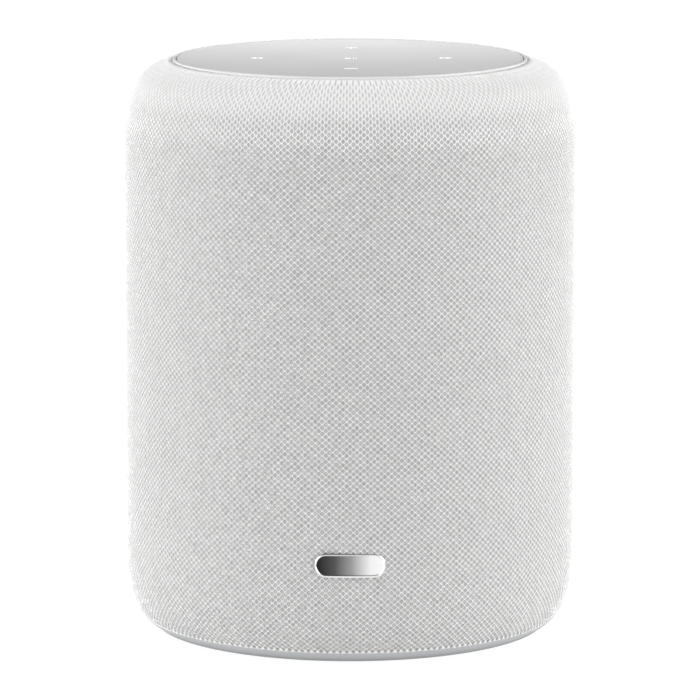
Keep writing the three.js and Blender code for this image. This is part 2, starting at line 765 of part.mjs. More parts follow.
// Turns a driver drawn along local z so that it faces forwards, at a place on the baffle.
function driver(x, z, pieces) {
  const group = new THREE.Group();
  group.position.set(x, BAFFLE_Y, z);
  group.rotation.x = Math.PI / 2;
  group.add(...pieces);
  return group;
}

function woofer() {
  return driver(0, WOOFER_HEIGHT, [
    wooferFrame(), wooferSurround(), wooferCone(), wooferDustCap(), wooferVoiceCoil(),
    wooferSpider(), wooferTopPlate(), wooferMagnet(), wooferBackPlate(), ...wooferScrews(),
  ]);
}

// ---------------------------------------------------------------- tweeters

// The tweeter dome's outline: a thin shell.
function domeOutline() {
  const { radius, rise, skin, base, steps } = DOME;
  const outer = [];
  const inner = [];
  for (let i = 0; i < steps; i += 1) {
    const angle = (Math.PI / 2) * (i / steps);
    outer.push([radius * Math.cos(angle), base + rise * Math.sin(angle)]);
    inner.push([(radius - skin) * Math.cos(angle), base + (rise - skin) * Math.sin(angle)]);
  }
  return [...outer, [0, base + rise], [0, base + rise - skin], ...inner.reverse()];
}

function tweeter(number, x) {
  const faceplate = revolve([
    [11, TOUCHING_GAP],
    [16.5, TOUCHING_GAP],
    [16.5, 2.1],
    [15.6, 2.5],
    [12.8, 1.3],
    [11, 0.9],
  ], ROUND_SMALL_SEGMENTS);
  const housing = revolve([
    [0, -14],
    [11.6, -14],
    [12.4, -13.2],
    [12.4, -1.8],
    [0, -1.8],
  ], DOME_SEGMENTS);
  return driver(x, TWEETER_HEIGHT, [
    piece(`tweeter_${number}_faceplate`, faceplate, MATERIALS.darkPlastic),
    piece(`tweeter_${number}_dome`, revolve(domeOutline(), DOME_SEGMENTS), MATERIALS.silk),
    piece(`tweeter_${number}_magnet`, housing, MATERIALS.ferrite),
  ]);
}

// ---------------------------------------------------------------- main board

function mainBoard() {
  const { halfX, low, high, y0, y1 } = MAIN_BOARD;
  const board = block(-halfX, halfX, y0, y1, low, high);
  const holes = BOARD_SCREW_PLACES.map((place) => screwHoleY(BOARD_SCREW, place, y0 - 1, y1 + 1));
  return piece("main_board", cut(board, holes), MATERIALS.circuitBoard);
}

function heatSink() {
  const { halfWidth, low, high, base, finHeight, finWidth, finPitch } = HEAT_SINK;
  const face = MAIN_BOARD.y1 + TOUCHING_GAP;
  const plate = block(-halfWidth, halfWidth, face, face + base, low, high);
  const fins = [];
  for (let x = 1 - halfWidth; x < halfWidth - finWidth; x += finPitch) {
    fins.push(block(x, x + finWidth, face + base / 2, face + finHeight, low, high));
  }
  return piece("heat_sink", join(plate, fins), MATERIALS.aluminium);
}

function processorShield() {
  const face = MAIN_BOARD.y1 + TOUCHING_GAP;
  return piece("processor_shield", block(-12, 12, face, face + 2.4, 66, 88), MATERIALS.steel);
}

function boardScrews() {
  return BOARD_SCREW_PLACES.map(([x, z], index) => {
    const screw = screwPiece(`board_screw_${index + 1}`, BOARD_SCREW);
    screw.rotation.x = -Math.PI / 2;
    screw.position.set(x, MAIN_BOARD.y1 + TOUCHING_GAP, z);
    return screw;
  });
}

function antennas() {
  const { reach, halfWidth, halfLength, thickness } = ANTENNA;
  const low = CABINET_TOP + CABINET_WALL + 2 * TOUCHING_GAP;
  return [-1, 1].map((side, index) => {
    const x = side * reach;
    const board = block(x - halfWidth, x + halfWidth, -halfLength, halfLength, low, low + thickness);
    return piece(`antenna_${index + 1}`, board, MATERIALS.circuitBoard);
  });
}

// The flat cable between the touch board and the main board.
function touchCable() {
  const route = [
    [0, 36, 177.8],
    [0, 42, 176.6],
    [0, 48, 172],
    [0, 50.3, 163],
    [0, 50.3, 150.4],
  ];
  const halfWidth = 5;
  const halfThickness = 0.25;
  const section = new THREE.Shape();
  section.moveTo(-halfWidth, -halfThickness);
  section.lineTo(halfWidth, -halfThickness);
  section.lineTo(halfWidth, halfThickness);
  section.lineTo(-halfWidth, halfThickness);
  section.closePath();
  return piece("touch_cable", alongRoute(section, route, 1), MATERIALS.palePlastic);
}

// ---------------------------------------------------------------- socket bay

// A band of the body's round side between two heights, to trim a piece to the body's curve.
function bodyBand(inner, outer, low, high) {
  return revolve([
    [inner, low],
    [outer, low],
    [outer, high],
    [inner, high],
  ], TRIM_SEGMENTS);
}

// The recess at the back: a box open to the rear, whose wall has a hole for each socket.
function bayFrame() {
  const { halfWidth, low, high, wallY, wallThickness, side, centre } = BAY;
  const pocketFloor = wallY + wallThickness;
  const rear = BODY_RADIUS + CUT_REACH;
  const outer = block(-halfWidth, halfWidth, wallY, rear, low, high);
  const trimmed = intersect(outer, bodyBand(0, BODY_RADIUS + BAY_PROUD, low, high));
  const reach = halfWidth - side;
  const pocket = block(-reach, reach, pocketFloor, rear + 1, low + side, high - side);
  const y0 = wallY - 1;
  const y1 = pocketFloor + 1;
  const audioHole = rodY(AUDIO_JACK.x, centre, y0, y1, AUDIO_JACK.radius + CUT_CLEARANCE, PART_SEGMENTS);
  const buttonHole = rodY(BUTTON.x, centre, y0, y1, BUTTON.holeRadius, PART_SEGMENTS);
  const tools = [
    pocket,
    socketBlock(INLET, CUT_CLEARANCE, y0, y1),
    socketBlock(NETWORK_JACK, CUT_CLEARANCE, y0, y1),
    audioHole,
    buttonHole,
  ];
  return piece("socket_bay", cut(trimmed, tools), MATERIALS.palePlastic);
}

// A socket's block between two depths, grown all round.
function socketBlock(socket, growth, y0, y1) {
  const halfWidth = socket.width / 2 + growth;
  const halfHeight = socket.height / 2 + growth;
  const low = BAY.centre - halfHeight;
  const high = BAY.centre + halfHeight;
  return block(socket.x - halfWidth, socket.x + halfWidth, y0, y1, low, high);
}

// A two-pin inlet: a block with an oval cavity that a mains plug fits.
function mainsInlet() {
  const body = socketBlock(INLET, 0, INLET.back, INLET.front);
  const outline = capsuleShape(INLET.x, BAY.centre, INLET_CAVITY.width, INLET_CAVITY.height);
  const cavity = extrudeY(outline, INLET_CAVITY.floor, INLET.front + 1);
  return piece("mains_inlet", cut(body, [cavity]), MATERIALS.darkPlastic);
}

function inletContacts() {
  const { floor, contactReach, contactRadius } = INLET_CAVITY;
  return [-1, 1].map((side, index) => {
    const x = INLET.x + side * contactReach;
    const contact = rodY(x, BAY.centre, floor + TOUCHING_GAP, INLET.front - 3.5, contactRadius);
    return piece(`inlet_contact_${index + 1}`, contact, MATERIALS.brass);
  });
}

// The network jack: a cavity with a narrower slot above it for the plug's latch.
function networkJack() {
  const { x, back, front } = NETWORK_JACK;
  const { halfWidth, drop, height, floor } = NETWORK_CAVITY;
  const latchReach = NETWORK_LATCH.halfWidth;
  const latchTop = BAY.centre - drop + height + NETWORK_LATCH.height;
  const low = BAY.centre - drop;
  const high = low + height;
  const body = socketBlock(NETWORK_JACK, 0, back, front);
  const cavity = block(x - halfWidth, x + halfWidth, floor, front + 1, low, high);
  const latch = block(x - latchReach, x + latchReach, floor, front + 1, high - 1, latchTop);
  return piece("network_jack", cut(body, [cavity, latch]), MATERIALS.darkPlastic);
}

function audioJack() {
  const { x, radius, back, front, boreRadius, boreFloor } = AUDIO_JACK;
  const barrel = rodY(x, BAY.centre, back, front, radius, PART_SEGMENTS);
  const bore = rodY(x, BAY.centre, boreFloor, front + 1, boreRadius);
  return piece("audio_jack", cut(barrel, [bore]), MATERIALS.darkPlastic);
}

function setupButton() {
  const { x, radius, back, front, bevel } = BUTTON;
  const length = front - back;
  const cap = revolve([
    [0, 0],
    [radius, 0],
    [radius, length - bevel],
    [radius - bevel, length],
    [0, length],
  ], DOME_SEGMENTS);
  const made = piece("setup_button", cap, MATERIALS.palePlastic);
  made.rotation.x = -Math.PI / 2;
  made.position.set(x, back, BAY.centre);
  return made;
}

// The small board behind the bay that carries the push switch and the audio jack.
function socketBoard() {
  const half = 2;
  const board = block(12.5, 33, 46.5, 47.6, 21, 39);
  const pushSwitch = block(BUTTON.x - half, BUTTON.x + half, 47, 48.6, BAY.centre - half, BAY.centre + half);
  return piece("socket_board", join(board, [pushSwitch]), MATERIALS.circuitBoard);
}

// ---------------------------------------------------------------- badge

// A plain capsule-shaped plate, curved to the body and standing slightly proud of the knit.
function frontBadge() {
  const outline = capsuleShape(0, BADGE.centre, BADGE.width, BADGE.height);
  const plate = extrudeY(outline, -BODY_RADIUS - CUT_REACH, -BODY_RADIUS + CUT_REACH);
  const back = BODY_RADIUS - FABRIC_THICKNESS + 0.1;
  const low = BADGE.centre - BADGE.height;
  const high = BADGE.centre + BADGE.height;
  const skin = bodyBand(back, BODY_RADIUS + BADGE.proud, low, high);
  return piece("front_badge", intersect(plate, skin), MATERIALS.chrome);
}

// ---------------------------------------------------------------- assembly

const speaker = new THREE.Group();
speaker.add(
  fabricSleeve(), grilleBasket(), ...flangeScrews(), topRing(), touchPanel(),
  lightGuide(), touchBoard(), ...microphones(), touchCable(),
  baseTray(), footPad(), ...baseScrews(),
  powerBoard(), transformer(), bulkCapacitor(), mainsLead(),
  cabinet(), cabinetLid(), woofer(), tweeter(1, -TWEETER_OFFSET), tweeter(2, TWEETER_OFFSET),
  mainBoard(), heatSink(), processorShield(), ...boardScrews(), ...antennas(),
  bayFrame(), mainsInlet(), ...inletContacts(), networkJack(), audioJack(), setupButton(),
  socketBoard(),
  frontBadge(),
);

export default speaker;
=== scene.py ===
"""A compact smart speaker: a round body in a white knit, with a satin touch panel on top.

Everything is in metres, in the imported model's own frame: +Z is up, the front faces -Y and the
origin is the centre of the footprint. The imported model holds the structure. This script makes
the surfaces that show: the knit, the ring, the panel and its marks, the base and the badge, and
the materials of every other piece.
"""

import json
import math

import bmesh
import bpy
import numpy as np
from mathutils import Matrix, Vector


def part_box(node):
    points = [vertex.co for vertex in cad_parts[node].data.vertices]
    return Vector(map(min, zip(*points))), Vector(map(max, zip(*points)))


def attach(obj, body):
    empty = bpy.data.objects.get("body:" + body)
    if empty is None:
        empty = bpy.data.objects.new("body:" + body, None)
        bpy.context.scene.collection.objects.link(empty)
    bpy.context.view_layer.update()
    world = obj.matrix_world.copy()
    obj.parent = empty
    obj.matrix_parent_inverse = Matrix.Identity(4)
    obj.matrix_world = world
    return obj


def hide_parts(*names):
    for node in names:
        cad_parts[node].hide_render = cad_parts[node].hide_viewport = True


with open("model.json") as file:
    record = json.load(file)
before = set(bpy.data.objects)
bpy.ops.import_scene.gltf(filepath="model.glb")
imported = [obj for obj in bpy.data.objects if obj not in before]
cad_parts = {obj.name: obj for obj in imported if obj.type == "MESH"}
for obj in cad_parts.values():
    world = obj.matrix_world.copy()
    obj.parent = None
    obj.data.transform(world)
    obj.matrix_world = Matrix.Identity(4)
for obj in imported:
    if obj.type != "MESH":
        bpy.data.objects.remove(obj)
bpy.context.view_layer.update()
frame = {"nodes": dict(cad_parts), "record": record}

# ---------------------------------------------------------------- driving dimensions

MM = 0.001

SLEEVE_LOW, SLEEVE_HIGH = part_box("fabric_sleeve")
RING_LOW, RING_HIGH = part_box("top_ring")
PANEL_LOW, PANEL_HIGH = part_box("touch_panel")
BAY_LOW, BAY_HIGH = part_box("socket_bay")
BADGE_LOW, BADGE_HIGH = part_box("front_badge")

BODY_RADIUS = SLEEVE_HIGH.x

# The shoulder and the foot are quarter superellipses between the wall and a flat apex.
SHOULDER = {"inner": 46.2 * MM, "start": 155.1 * MM, "apex": 185.4 * MM, "exponent": 3.14}
FOOT = {"inner": 56.9 * MM, "start": 32.1 * MM, "apex": 0.1 * MM, "exponent": 2.876}

KNIT_THICKNESS = 1.2 * MM
KNIT_TOP_RADIUS = 57.25 * MM
STITCH_COLUMNS = 210
ROW_PITCH = 1.965 * MM
STRETCH_START = 160 * MM
STRETCH_AMOUNT = 3.46
STRETCH_POWER = 4.3
SAMPLES = 4
FINE_COLUMNS = STITCH_COLUMNS * SAMPLES
OUTLINE_POINTS = 1500
RANDOM_SEED = 11

# The mesh's relief: the holes' depth, the yarns' height where they cross, and how uneven both are.
HOLE_DEPTH = 0.5 * MM
DIMPLE_REACH = 1.5
PULLED_SHALLOWER = 0.4
YARN_LOFT = 0.05 * MM
YARN_UNEVENNESS = 0.018 * MM
STITCH_SCATTER = 0.022

# A hole's half width and half height, as shares of the stitch pitch. The last rows are pulled in
# towards the ring, so their holes are narrow slots.
HOLE_HALF_WIDTH = 0.345
HOLE_HALF_HEIGHT = 0.41
PULLED_HALF_WIDTH = 0.18
PULLED_HALF_HEIGHT = 0.43
PULLED_ROWS = 13
HOLE_ROUNDNESS = 1.2
HOLE_EDGE = (1.3, 0.8)
EDGE_MARGIN = 0.25
BAY_CLEARANCE = 0.3 * MM

# The knit's tones, as a level and a warmth. The grey in the holes is the lining's own grey together with
# painted shade of the deep holes. A few holes show a thread of the lining behind them.
LINING_AND_SHADE_TONES = [(0.38, 0.004), (0.44, 0.004)]
THREAD_TONE = (0.66, 0.003)
THREAD_CHANCE = (0.45, 0.9)
THREAD_REACH = 0.45
YARN_TONES = [(0.82, 0.002), (0.91, 0.002)]
WOBBLE = 0.12

# Where the knit's colour is darkened or lightened, in rows from the hem or back from the ring: painted light
# in the holes near the ring, painted shade over the shoulder and at the hem, and painted light on the last
# rows by the ring.
HOLE_PAINTED_LIGHT_ROWS = (11, 2)
HOLE_PAINTED_LIGHT_STRENGTH = 0.5
SHOULDER_PAINTED_SHADE_ROWS = (10, 6)
SHOULDER_PAINTED_SHADE = 0.83
RING_PAINTED_LIGHT_ROWS = 2.4
RING_PAINTED_LIGHT = 1.14
HEM_PAINTED_SHADE_ROWS = 0.7
HEM_PAINTED_SHADE = 0.76

RING_OUTER = RING_HIGH.x
RING_WIDTH = 1.0 * MM
RING_LEDGE_RADIUS = 52 * MM
RING_OUTER_ROUNDING = 0.6 * MM
RING_INNER_ROUNDING = 0.2 * MM
CAD_GAP = 0.3 * MM

PANEL_RADIUS = PANEL_HIGH.x
PANEL_DISH = 0.25 * MM
PANEL_ROUNDING = 0.25 * MM
PANEL_STEPS = 12

MARK_RADIUS = 30.5 * MM
MARK_SHIFT = 0.37 * MM
MARK_STROKE = 0.75 * MM
FINE_STROKE = 0.4 * MM
MARK_HEIGHT = 0.06 * MM
MARK_SUNK = 0.15 * MM
PLUS_LENGTH = 4.2 * MM
MINUS_LENGTH = 4.4 * MM
PLAY_SIZE = 2.1 * MM
PLAY_SHIFT = -0.95 * MM
PAUSE_LENGTH = 2.0 * MM
PAUSE_SHIFTS = (0.75 * MM, 1.6 * MM)
SKIP_SIZE = 1.95 * MM
SKIP_SHIFTS = (-1.0 * MM, 1.0 * MM)

TRAY_FLOOR = 2.5 * MM
TRAY_THICKNESS = 2.0 * MM
TRAY_EDGE = 0.5 * MM
TRAY_EDGE_RADIUS = 63.4 * MM
TRAY_EDGE_ROUNDING = 0.3 * MM
TRAY_INNER_RADIUS = 63 * MM
TRAY_RECESS_RADIUS = 61.6 * MM
TRAY_RIM_RADIUS = 66.0 * MM
TRAY_RIM_TOP = 7.2 * MM
TRAY_RIM_TOP_RADII = (TRAY_RIM_RADIUS + 0.6 * MM, TRAY_RIM_RADIUS - 1.4 * MM)
TRAY_CURVE_LOW = 1.0 * MM
TRAY_CURVE_STEPS = 10
TRAY_LIP = SLEEVE_LOW.z + 0.15 * MM
TRAY_LIP_ROUNDING = 0.35 * MM
TRAY_POSTS = [(x * 42 * MM, y * 31 * MM) for x in (-1, 1) for y in (-1, 1)]
POST_RADIUS = 4.5 * MM
POST_BORE = 1.7 * MM
POST_TOP = 23.7 * MM
POST_SINK = 0.5 * MM
POST_SEGMENTS = 32

# The badge's edge from its back to its field: how far in from its outline, and how proud of the body.
BADGE_BACK = -0.9 * MM
BADGE_RIM = 0.55 * MM
BADGE_FIELD = 0.32 * MM
BADGE_PROFILE = [
    (0.0, BADGE_BACK),
    (0.0, BADGE_RIM - 0.22 * MM),
    (0.07 * MM, BADGE_RIM - 0.07 * MM),
    (0.22 * MM, BADGE_RIM),
    (0.55 * MM, BADGE_RIM),
    (0.72 * MM, BADGE_FIELD + 0.03 * MM),
    (0.85 * MM, BADGE_FIELD),
    (2.2 * MM, BADGE_FIELD),
]
BADGE_RIM_BLEND = 0.05 * MM
# Places along the badge from left to right, and the face's level at each.
BADGE_TONES = [(0.06, 0.02), (0.31, 0.09), (0.55, 0.33), (0.81, 0.85), (0.95, 0.92)]

# The middle of a noise's range, where most of its values lie.
NOISE_LOW = 0.3
NOISE_HIGH = 0.7

FLOOR_REACH = 40.0
SKY_BASE = 0.26
SKY_SIDES = 4.4
SIDES_FROM = 0.38
SIDES_FULL_AT = 0.85
SIDES_BEHIND = 0.3
BEHIND_SINE = 0.35
SKY_HORIZON = 0.75
HORIZON_SINE = 0.12
FRONT_LIGHT = {"place": (0, -0.9, 1.0), "target": (0, 0, 0.1), "size": (0.8, 0.5), "watts": 0.2}
TOP_LIGHT = {"place": (0, 0.13, 0.33), "target": (0, 0, 0.185), "size": (0.16, 0.06), "watts": 0.54}

SMOOTH_ANGLE = math.radians(40)
WELD_DISTANCE = 0.002 * MM
ROUND_SEGMENTS = 192

# ---------------------------------------------------------------- camera

CAMERA_LENS = 271.1
CAMERA_PLACE = (0, -1.692, 0.3715)
CAMERA_PITCH = 0.165


def make_camera():
    """The camera stands in front of the speaker, a little above its top."""
    data = bpy.data.cameras.new("camera")
    data.lens = CAMERA_LENS
    data.sensor_width = 36
    data.clip_start = 0.01
    camera = bpy.data.objects.new("camera", data)
    camera.location = CAMERA_PLACE
    camera.rotation_euler = (math.pi / 2 - CAMERA_PITCH, 0, 0)
    bpy.context.scene.collection.objects.link(camera)
    bpy.context.scene.camera = camera


# ---------------------------------------------------------------- material helpers


class Nodes:
    """A node tree, with short ways to add nodes to it."""

    def __init__(self, tree):
        self.tree = tree

    def node(self, kind, inputs=None, **settings):
        """Adds a node. inputs maps socket names or numbers to values or to other nodes' outputs."""
        made = self.tree.nodes.new(kind)
        for key, value in settings.items():
            setattr(made, key, value)
        for key, value in (inputs or {}).items():
            self.set(made.inputs[key], value)
        return made

    def set(self, socket, value):
        if isinstance(value, bpy.types.NodeSocket):
            self.tree.links.new(value, socket)
        else:
            socket.default_value = value

    def math(self, operation, first, second=0.0):
        return self.node("ShaderNodeMath", {0: first, 1: second}, operation=operation).outputs[0]

    def vector(self, operation, first, second):
        return self.node("ShaderNodeVectorMath", {0: first, 1: second}, operation=operation).outputs[0]

    def place(self):
        """The point's place in the object's own frame, in metres."""
        return self.node("ShaderNodeTexCoord").outputs["Object"]

    def noise(self, vector, scale, detail=2.0, roughness=0.5):
        inputs = {"Vector": vector, "Scale": scale, "Detail": detail, "Roughness": roughness}
        return self.node("ShaderNodeTexNoise", inputs).outputs["Fac"]

    def span(self, value, low, high, to_low=0.0, to_high=1.0, smooth=True):
        """Maps low..high to to_low..to_high, and keeps within them."""
        kind = "SMOOTHSTEP" if smooth else "LINEAR"
        inputs = {"Value": value, "From Min": low, "From Max": high, "To Min": to_low, "To Max": to_high}
        return self.node("ShaderNodeMapRange", inputs, interpolation_type=kind).outputs[0]

    def mix(self, share, first, second):
        made = self.node("ShaderNodeMix", data_type="RGBA")
        self.set(made.inputs[0], share)
        self.set(made.inputs[6], first)
        self.set(made.inputs[7], second)
        return made.outputs[2]


class Finish(Nodes):
    """A material, with short ways to set its shader's inputs."""

    def __init__(self, name):
        self.material = bpy.data.materials.new(name)
        self.material.use_nodes = True
        super().__init__(self.material.node_tree)
        self.shader = self.tree.nodes["Principled BSDF"]

    def paint(self, color):
        """Sets a base colour that varies over the piece."""
        self.set(self.shader.inputs["Base Color"], color)

    def roughen(self, noise, low, high):
        """Varies the roughness with a noise."""
        roughness = self.span(noise, NOISE_LOW, NOISE_HIGH, low, high)
        self.set(self.shader.inputs["Roughness"], roughness)

    def bump(self, height, distance, strength=1.0):
        inputs = {"Height": height, "Distance": distance, "Strength": strength}
        self.set(self.shader.inputs["Normal"], self.node("ShaderNodeBump", inputs).outputs[0])

    def fix(self, **sockets):
        """Sets shader sockets that are the same all over; an underscore stands for a space."""
        for key, value in sockets.items():
            self.shader.inputs[key.replace("_", " ")].default_value = value


def grey(level, warmth=0.0):
    """A linear colour near grey; warmth above 0 is warmer, below 0 is cooler."""
    return (level * (1 + warmth), level, level * (1 - warmth), 1)


def scaled(color, factor):
    return tuple(channel * factor for channel in color[:3]) + (1,)


# ---------------------------------------------------------------- materials that show


def stitch_cell(finish, place):
    """Which hole a stitch place belongs to, by its two diagonals, and the way across and along it."""
    rising = finish.math("ADD", place.outputs[0], place.outputs[1])
    falling = finish.math("SUBTRACT", place.outputs[0], place.outputs[1])
    hole_rising = finish.math("FLOOR", finish.math("ADD", rising, 0.5))
    hole_falling = finish.math("FLOOR", finish.math("ADD", falling, 0.5))
    from_rising = finish.math("SUBTRACT", rising, hole_rising)
    from_falling = finish.math("SUBTRACT", falling, hole_falling)
    across = finish.math("MULTIPLY", finish.math("ADD", from_rising, from_falling), 0.5)
    along = finish.math("MULTIPLY", finish.math("SUBTRACT", from_rising, from_falling), 0.5)
    return rising, (hole_rising, hole_falling), (across, along)


def hole_reach(finish, distances, row, row_count):
    """How far a place is from its hole's centre: under 1 in the hole, over 1 on the yarns."""
    first_pulled = row_count - PULLED_ROWS
    half_width = finish.span(row, first_pulled, row_count, HOLE_HALF_WIDTH, PULLED_HALF_WIDTH)
    half_height = finish.span(row, first_pulled, row_count, HOLE_HALF_HEIGHT, PULLED_HALF_HEIGHT)
    parts = []
    for distance, half_size in zip(distances, (half_width, half_height)):
        share = finish.math("DIVIDE", finish.math("ABSOLUTE", distance), half_size)
        parts.append(finish.math("POWER", share, HOLE_ROUNDNESS))
    return finish.math("ADD", *parts)


def hole_mask(finish, reach, diagonals, row, row_count):
    """1 in a hole and 0 on the yarns, and weaker near the ring, where the holes get painted light. No hole
    is centred on an edge.
    """
    hole_row = finish.math("MULTIPLY", finish.math("SUBTRACT", *diagonals), 0.5)
    from_middle = finish.math("ABSOLUTE", finish.math("SUBTRACT", hole_row, row_count / 2))
    whole = finish.math("LESS_THAN", from_middle, row_count / 2 - EDGE_MARGIN)
    # Painted light: the holes are painted paler over the last rows before the ring.
    first, last = HOLE_PAINTED_LIGHT_ROWS
    strength = finish.span(row, row_count - first, row_count - last, 1.0, HOLE_PAINTED_LIGHT_STRENGTH)
    shown = finish.math("MULTIPLY", whole, strength)
    return finish.math("MULTIPLY", finish.span(reach, *HOLE_EDGE), shown)


def hole_color(finish, reach, diagonals):
    """The grey in a hole: the lining's own grey, darkened with painted shade of the deep hole, and a paler
    thread of the lining across some of the holes.
    """
    hole_index = finish.node("ShaderNodeCombineXYZ", {0: diagonals[0], 1: diagonals[1]}).outputs[0]
    chance = finish.node("ShaderNodeTexWhiteNoise", {"Vector": hole_index})
    # Painted shade: the holes' grey also stands for the shade deep in each hole, over the lining's own grey.
    lining_and_shade = finish.mix(chance.outputs["Value"], *(grey(*tone) for tone in LINING_AND_SHADE_TONES))
    second_chance = finish.node("ShaderNodeSeparateXYZ", {0: chance.outputs["Color"]}).outputs[1]
    threaded = finish.span(second_chance, *THREAD_CHANCE)
    thread = finish.math("MULTIPLY", finish.span(reach, THREAD_REACH, 0.0), threaded)
    return finish.mix(thread, lining_and_shade, grey(*THREAD_TONE))


def knit_painted_light_and_shade(finish, row, row_count):
    """Painted shade over the shoulder rows and at the hem, and painted light on the last rows by the ring.
    """
    first, last = SHOULDER_PAINTED_SHADE_ROWS
    # pulled is painted shade over the shoulder, hem is painted shade at the hem, and the rows by the ring
    # get painted light.
    pulled = finish.span(row, row_count - first, row_count - last, 1.0, SHOULDER_PAINTED_SHADE)
    painted_ring_light = finish.span(row, row_count - RING_PAINTED_LIGHT_ROWS, row_count, 1.0, RING_PAINTED_LIGHT)
    hem = finish.span(row, 0.0, HEM_PAINTED_SHADE_ROWS, HEM_PAINTED_SHADE, 1.0)
    shade = finish.math("MULTIPLY", finish.math("MULTIPLY", pulled, painted_ring_light), hem)
    return finish.node("ShaderNodeCombineXYZ", {0: shade, 1: shade, 2: shade}).outputs[0]


def knit_finish(row_count):
    """The knit's staggered mesh: bright diagonal yarns round soft grey holes."""
    finish = Finish("knit_yarn")
    uv = finish.node("ShaderNodeUVMap", uv_map="knit").outputs[0]
    wobble = finish.node("ShaderNodeTexNoise", {"Vector": uv, "Scale": 1.3, "Detail": 2.0})
    centred = finish.vector("SUBTRACT", wobble.outputs["Color"], (0.5, 0.5, 0.5))
    shift = finish.vector("MULTIPLY", centred, (WOBBLE, WOBBLE, WOBBLE))
    place = finish.node("ShaderNodeSeparateXYZ", {0: finish.vector("ADD", uv, shift)})
    row = place.outputs[1]
    rising, diagonals, distances = stitch_cell(finish, place)
    reach = hole_reach(finish, distances, row, row_count)
    hole = hole_mask(finish, reach, diagonals, row, row_count)

    fibre = finish.noise(uv, 7.0, 3.0, 0.7)
    yarn = finish.mix(fibre, *(grey(*tone) for tone in YARN_TONES))
    mesh_color = finish.mix(hole, yarn, hole_color(finish, reach, diagonals))
    # The knit's colour carries painted shade and painted light, row by row.
    finish.paint(finish.vector("MULTIPLY", mesh_color, knit_painted_light_and_shade(finish, row, row_count)))

    strand = finish.math("SINE", finish.math("MULTIPLY", rising, 22.0))
    twist = finish.math("ADD", finish.math("MULTIPLY", strand, 0.15), finish.math("MULTIPLY", fibre, 0.6))
    height = finish.math("SUBTRACT", twist, finish.math("MULTIPLY", hole, 1.2))
    finish.bump(height, 0.12 * MM, 0.8)
    finish.fix(Roughness=0.95, Specular_IOR_Level=0.15)
    return finish.material


def moulded_finish(name, color, roughness, grain=0.35, depth=0.012, gloss=0.5):
    """Moulded plastic: a fine texture from the tool, and a slight unevenness in its gloss.
    grain is the size of the texture in millimetres and depth its height."""
    finish = Finish(name)
    place = finish.place()
    broad = finish.noise(place, 45.0, 3.0)
    fine = finish.noise(place, 1 / (grain * MM), 2.0, 0.6)
    finish.paint(finish.mix(broad, scaled(color, 0.96), scaled(color, 1.04)))
    finish.roughen(broad, roughness - 0.03, roughness + 0.03)
    finish.bump(fine, depth * MM)
    finish.fix(Specular_IOR_Level=gloss)
    return finish.material


def base_finish():
    """Cool grey moulded plastic, with painted shade that darkens it towards the lower edge."""
    finish = Finish("base_plastic")
    place = finish.place()
    height = finish.node("ShaderNodeSeparateXYZ", {0: place}).outputs[2]
    # Painted shade: the colour darkens towards the lower edge.
    painted_shade_fade = finish.span(height, 0.3 * MM, 3.8 * MM)
    finish.paint(finish.mix(painted_shade_fade, grey(0.26, -0.03), grey(0.40, -0.03)))
    finish.roughen(finish.noise(place, 45.0, 3.0), 0.47, 0.53)
    finish.bump(finish.noise(place, 4000.0, 2.0, 0.6), 0.01 * MM)
    return finish.material


def metal_finish(name, color, roughness, brushed=0.0):
    """Plated or polished metal. brushed is the height of its fine lines in millimetres."""
    finish = Finish(name)
    stretch = finish.node("ShaderNodeMapping", {"Vector": finish.place(), "Scale": (60.0, 60.0, 2500.0)})
    lines = finish.noise(stretch.outputs[0], 1.0, 3.0)
    cloud = finish.noise(finish.place(), 160.0, 2.0)
    finish.paint(finish.mix(cloud, scaled(color, 0.94), scaled(color, 1.05)))
    finish.roughen(lines, roughness * 0.85, roughness * 1.15)
    if brushed > 0:
        finish.bump(lines, brushed * MM)
    finish.fix(Metallic=1.0)
    return finish.material


def badge_finish():
    """Polished chrome whose face runs from a smoked left end to a bright right end."""
    finish = Finish("badge_chrome")
    across = finish.node("ShaderNodeSeparateXYZ", {0: finish.place()}).outputs[0]
    share = finish.span(across, BADGE_LOW.x, BADGE_HIGH.x, smooth=False)
    swirl = finish.noise(finish.place(), 260.0, 2.0)
    smoke = finish.math("ADD", share, finish.math("MULTIPLY", swirl, 0.04))
    stops = finish.node("ShaderNodeValToRGB", {"Fac": smoke})
    ramp = stops.color_ramp
    ramp.elements[0].position = BADGE_TONES[0][0]
    ramp.elements[0].color = grey(BADGE_TONES[0][1])
    ramp.elements[1].position = BADGE_TONES[-1][0]
    ramp.elements[1].color = grey(BADGE_TONES[-1][1])
    for position, level in BADGE_TONES[1:-1]:
        ramp.elements.new(position).color = grey(level)
    flattened = finish.vector("MULTIPLY", finish.place(), (1, 1, 0))
    length = finish.node("ShaderNodeVectorMath", {0: flattened}, operation="LENGTH")
    rim_low = BODY_RADIUS + BADGE_FIELD + BADGE_RIM_BLEND
    rim_high = BODY_RADIUS + BADGE_RIM - BADGE_RIM_BLEND
    rim = finish.span(length.outputs["Value"], rim_low, rim_high)
    finish.paint(finish.mix(rim, stops.outputs[0], grey(0.86)))
    finish.roughen(swirl, 0.10, 0.16)
    finish.fix(Metallic=1.0)
    return finish.material


def rubber_finish(name, level):
    """Matt rubber with a fine stipple."""
    finish = Finish(name)
    stipple = {"Vector": finish.place(), "Scale": 1600.0}
    cells = finish.node("ShaderNodeTexVoronoi", stipple).outputs["Distance"]
    cloud = finish.noise(finish.place(), 70.0, 3.0)
    finish.paint(finish.mix(cloud, grey(level * 0.85), grey(level * 1.15)))
    finish.roughen(cloud, 0.8, 0.92)
    finish.bump(cells, 0.03 * MM)
    return finish.material


# ---------------------------------------------------------------- materials inside


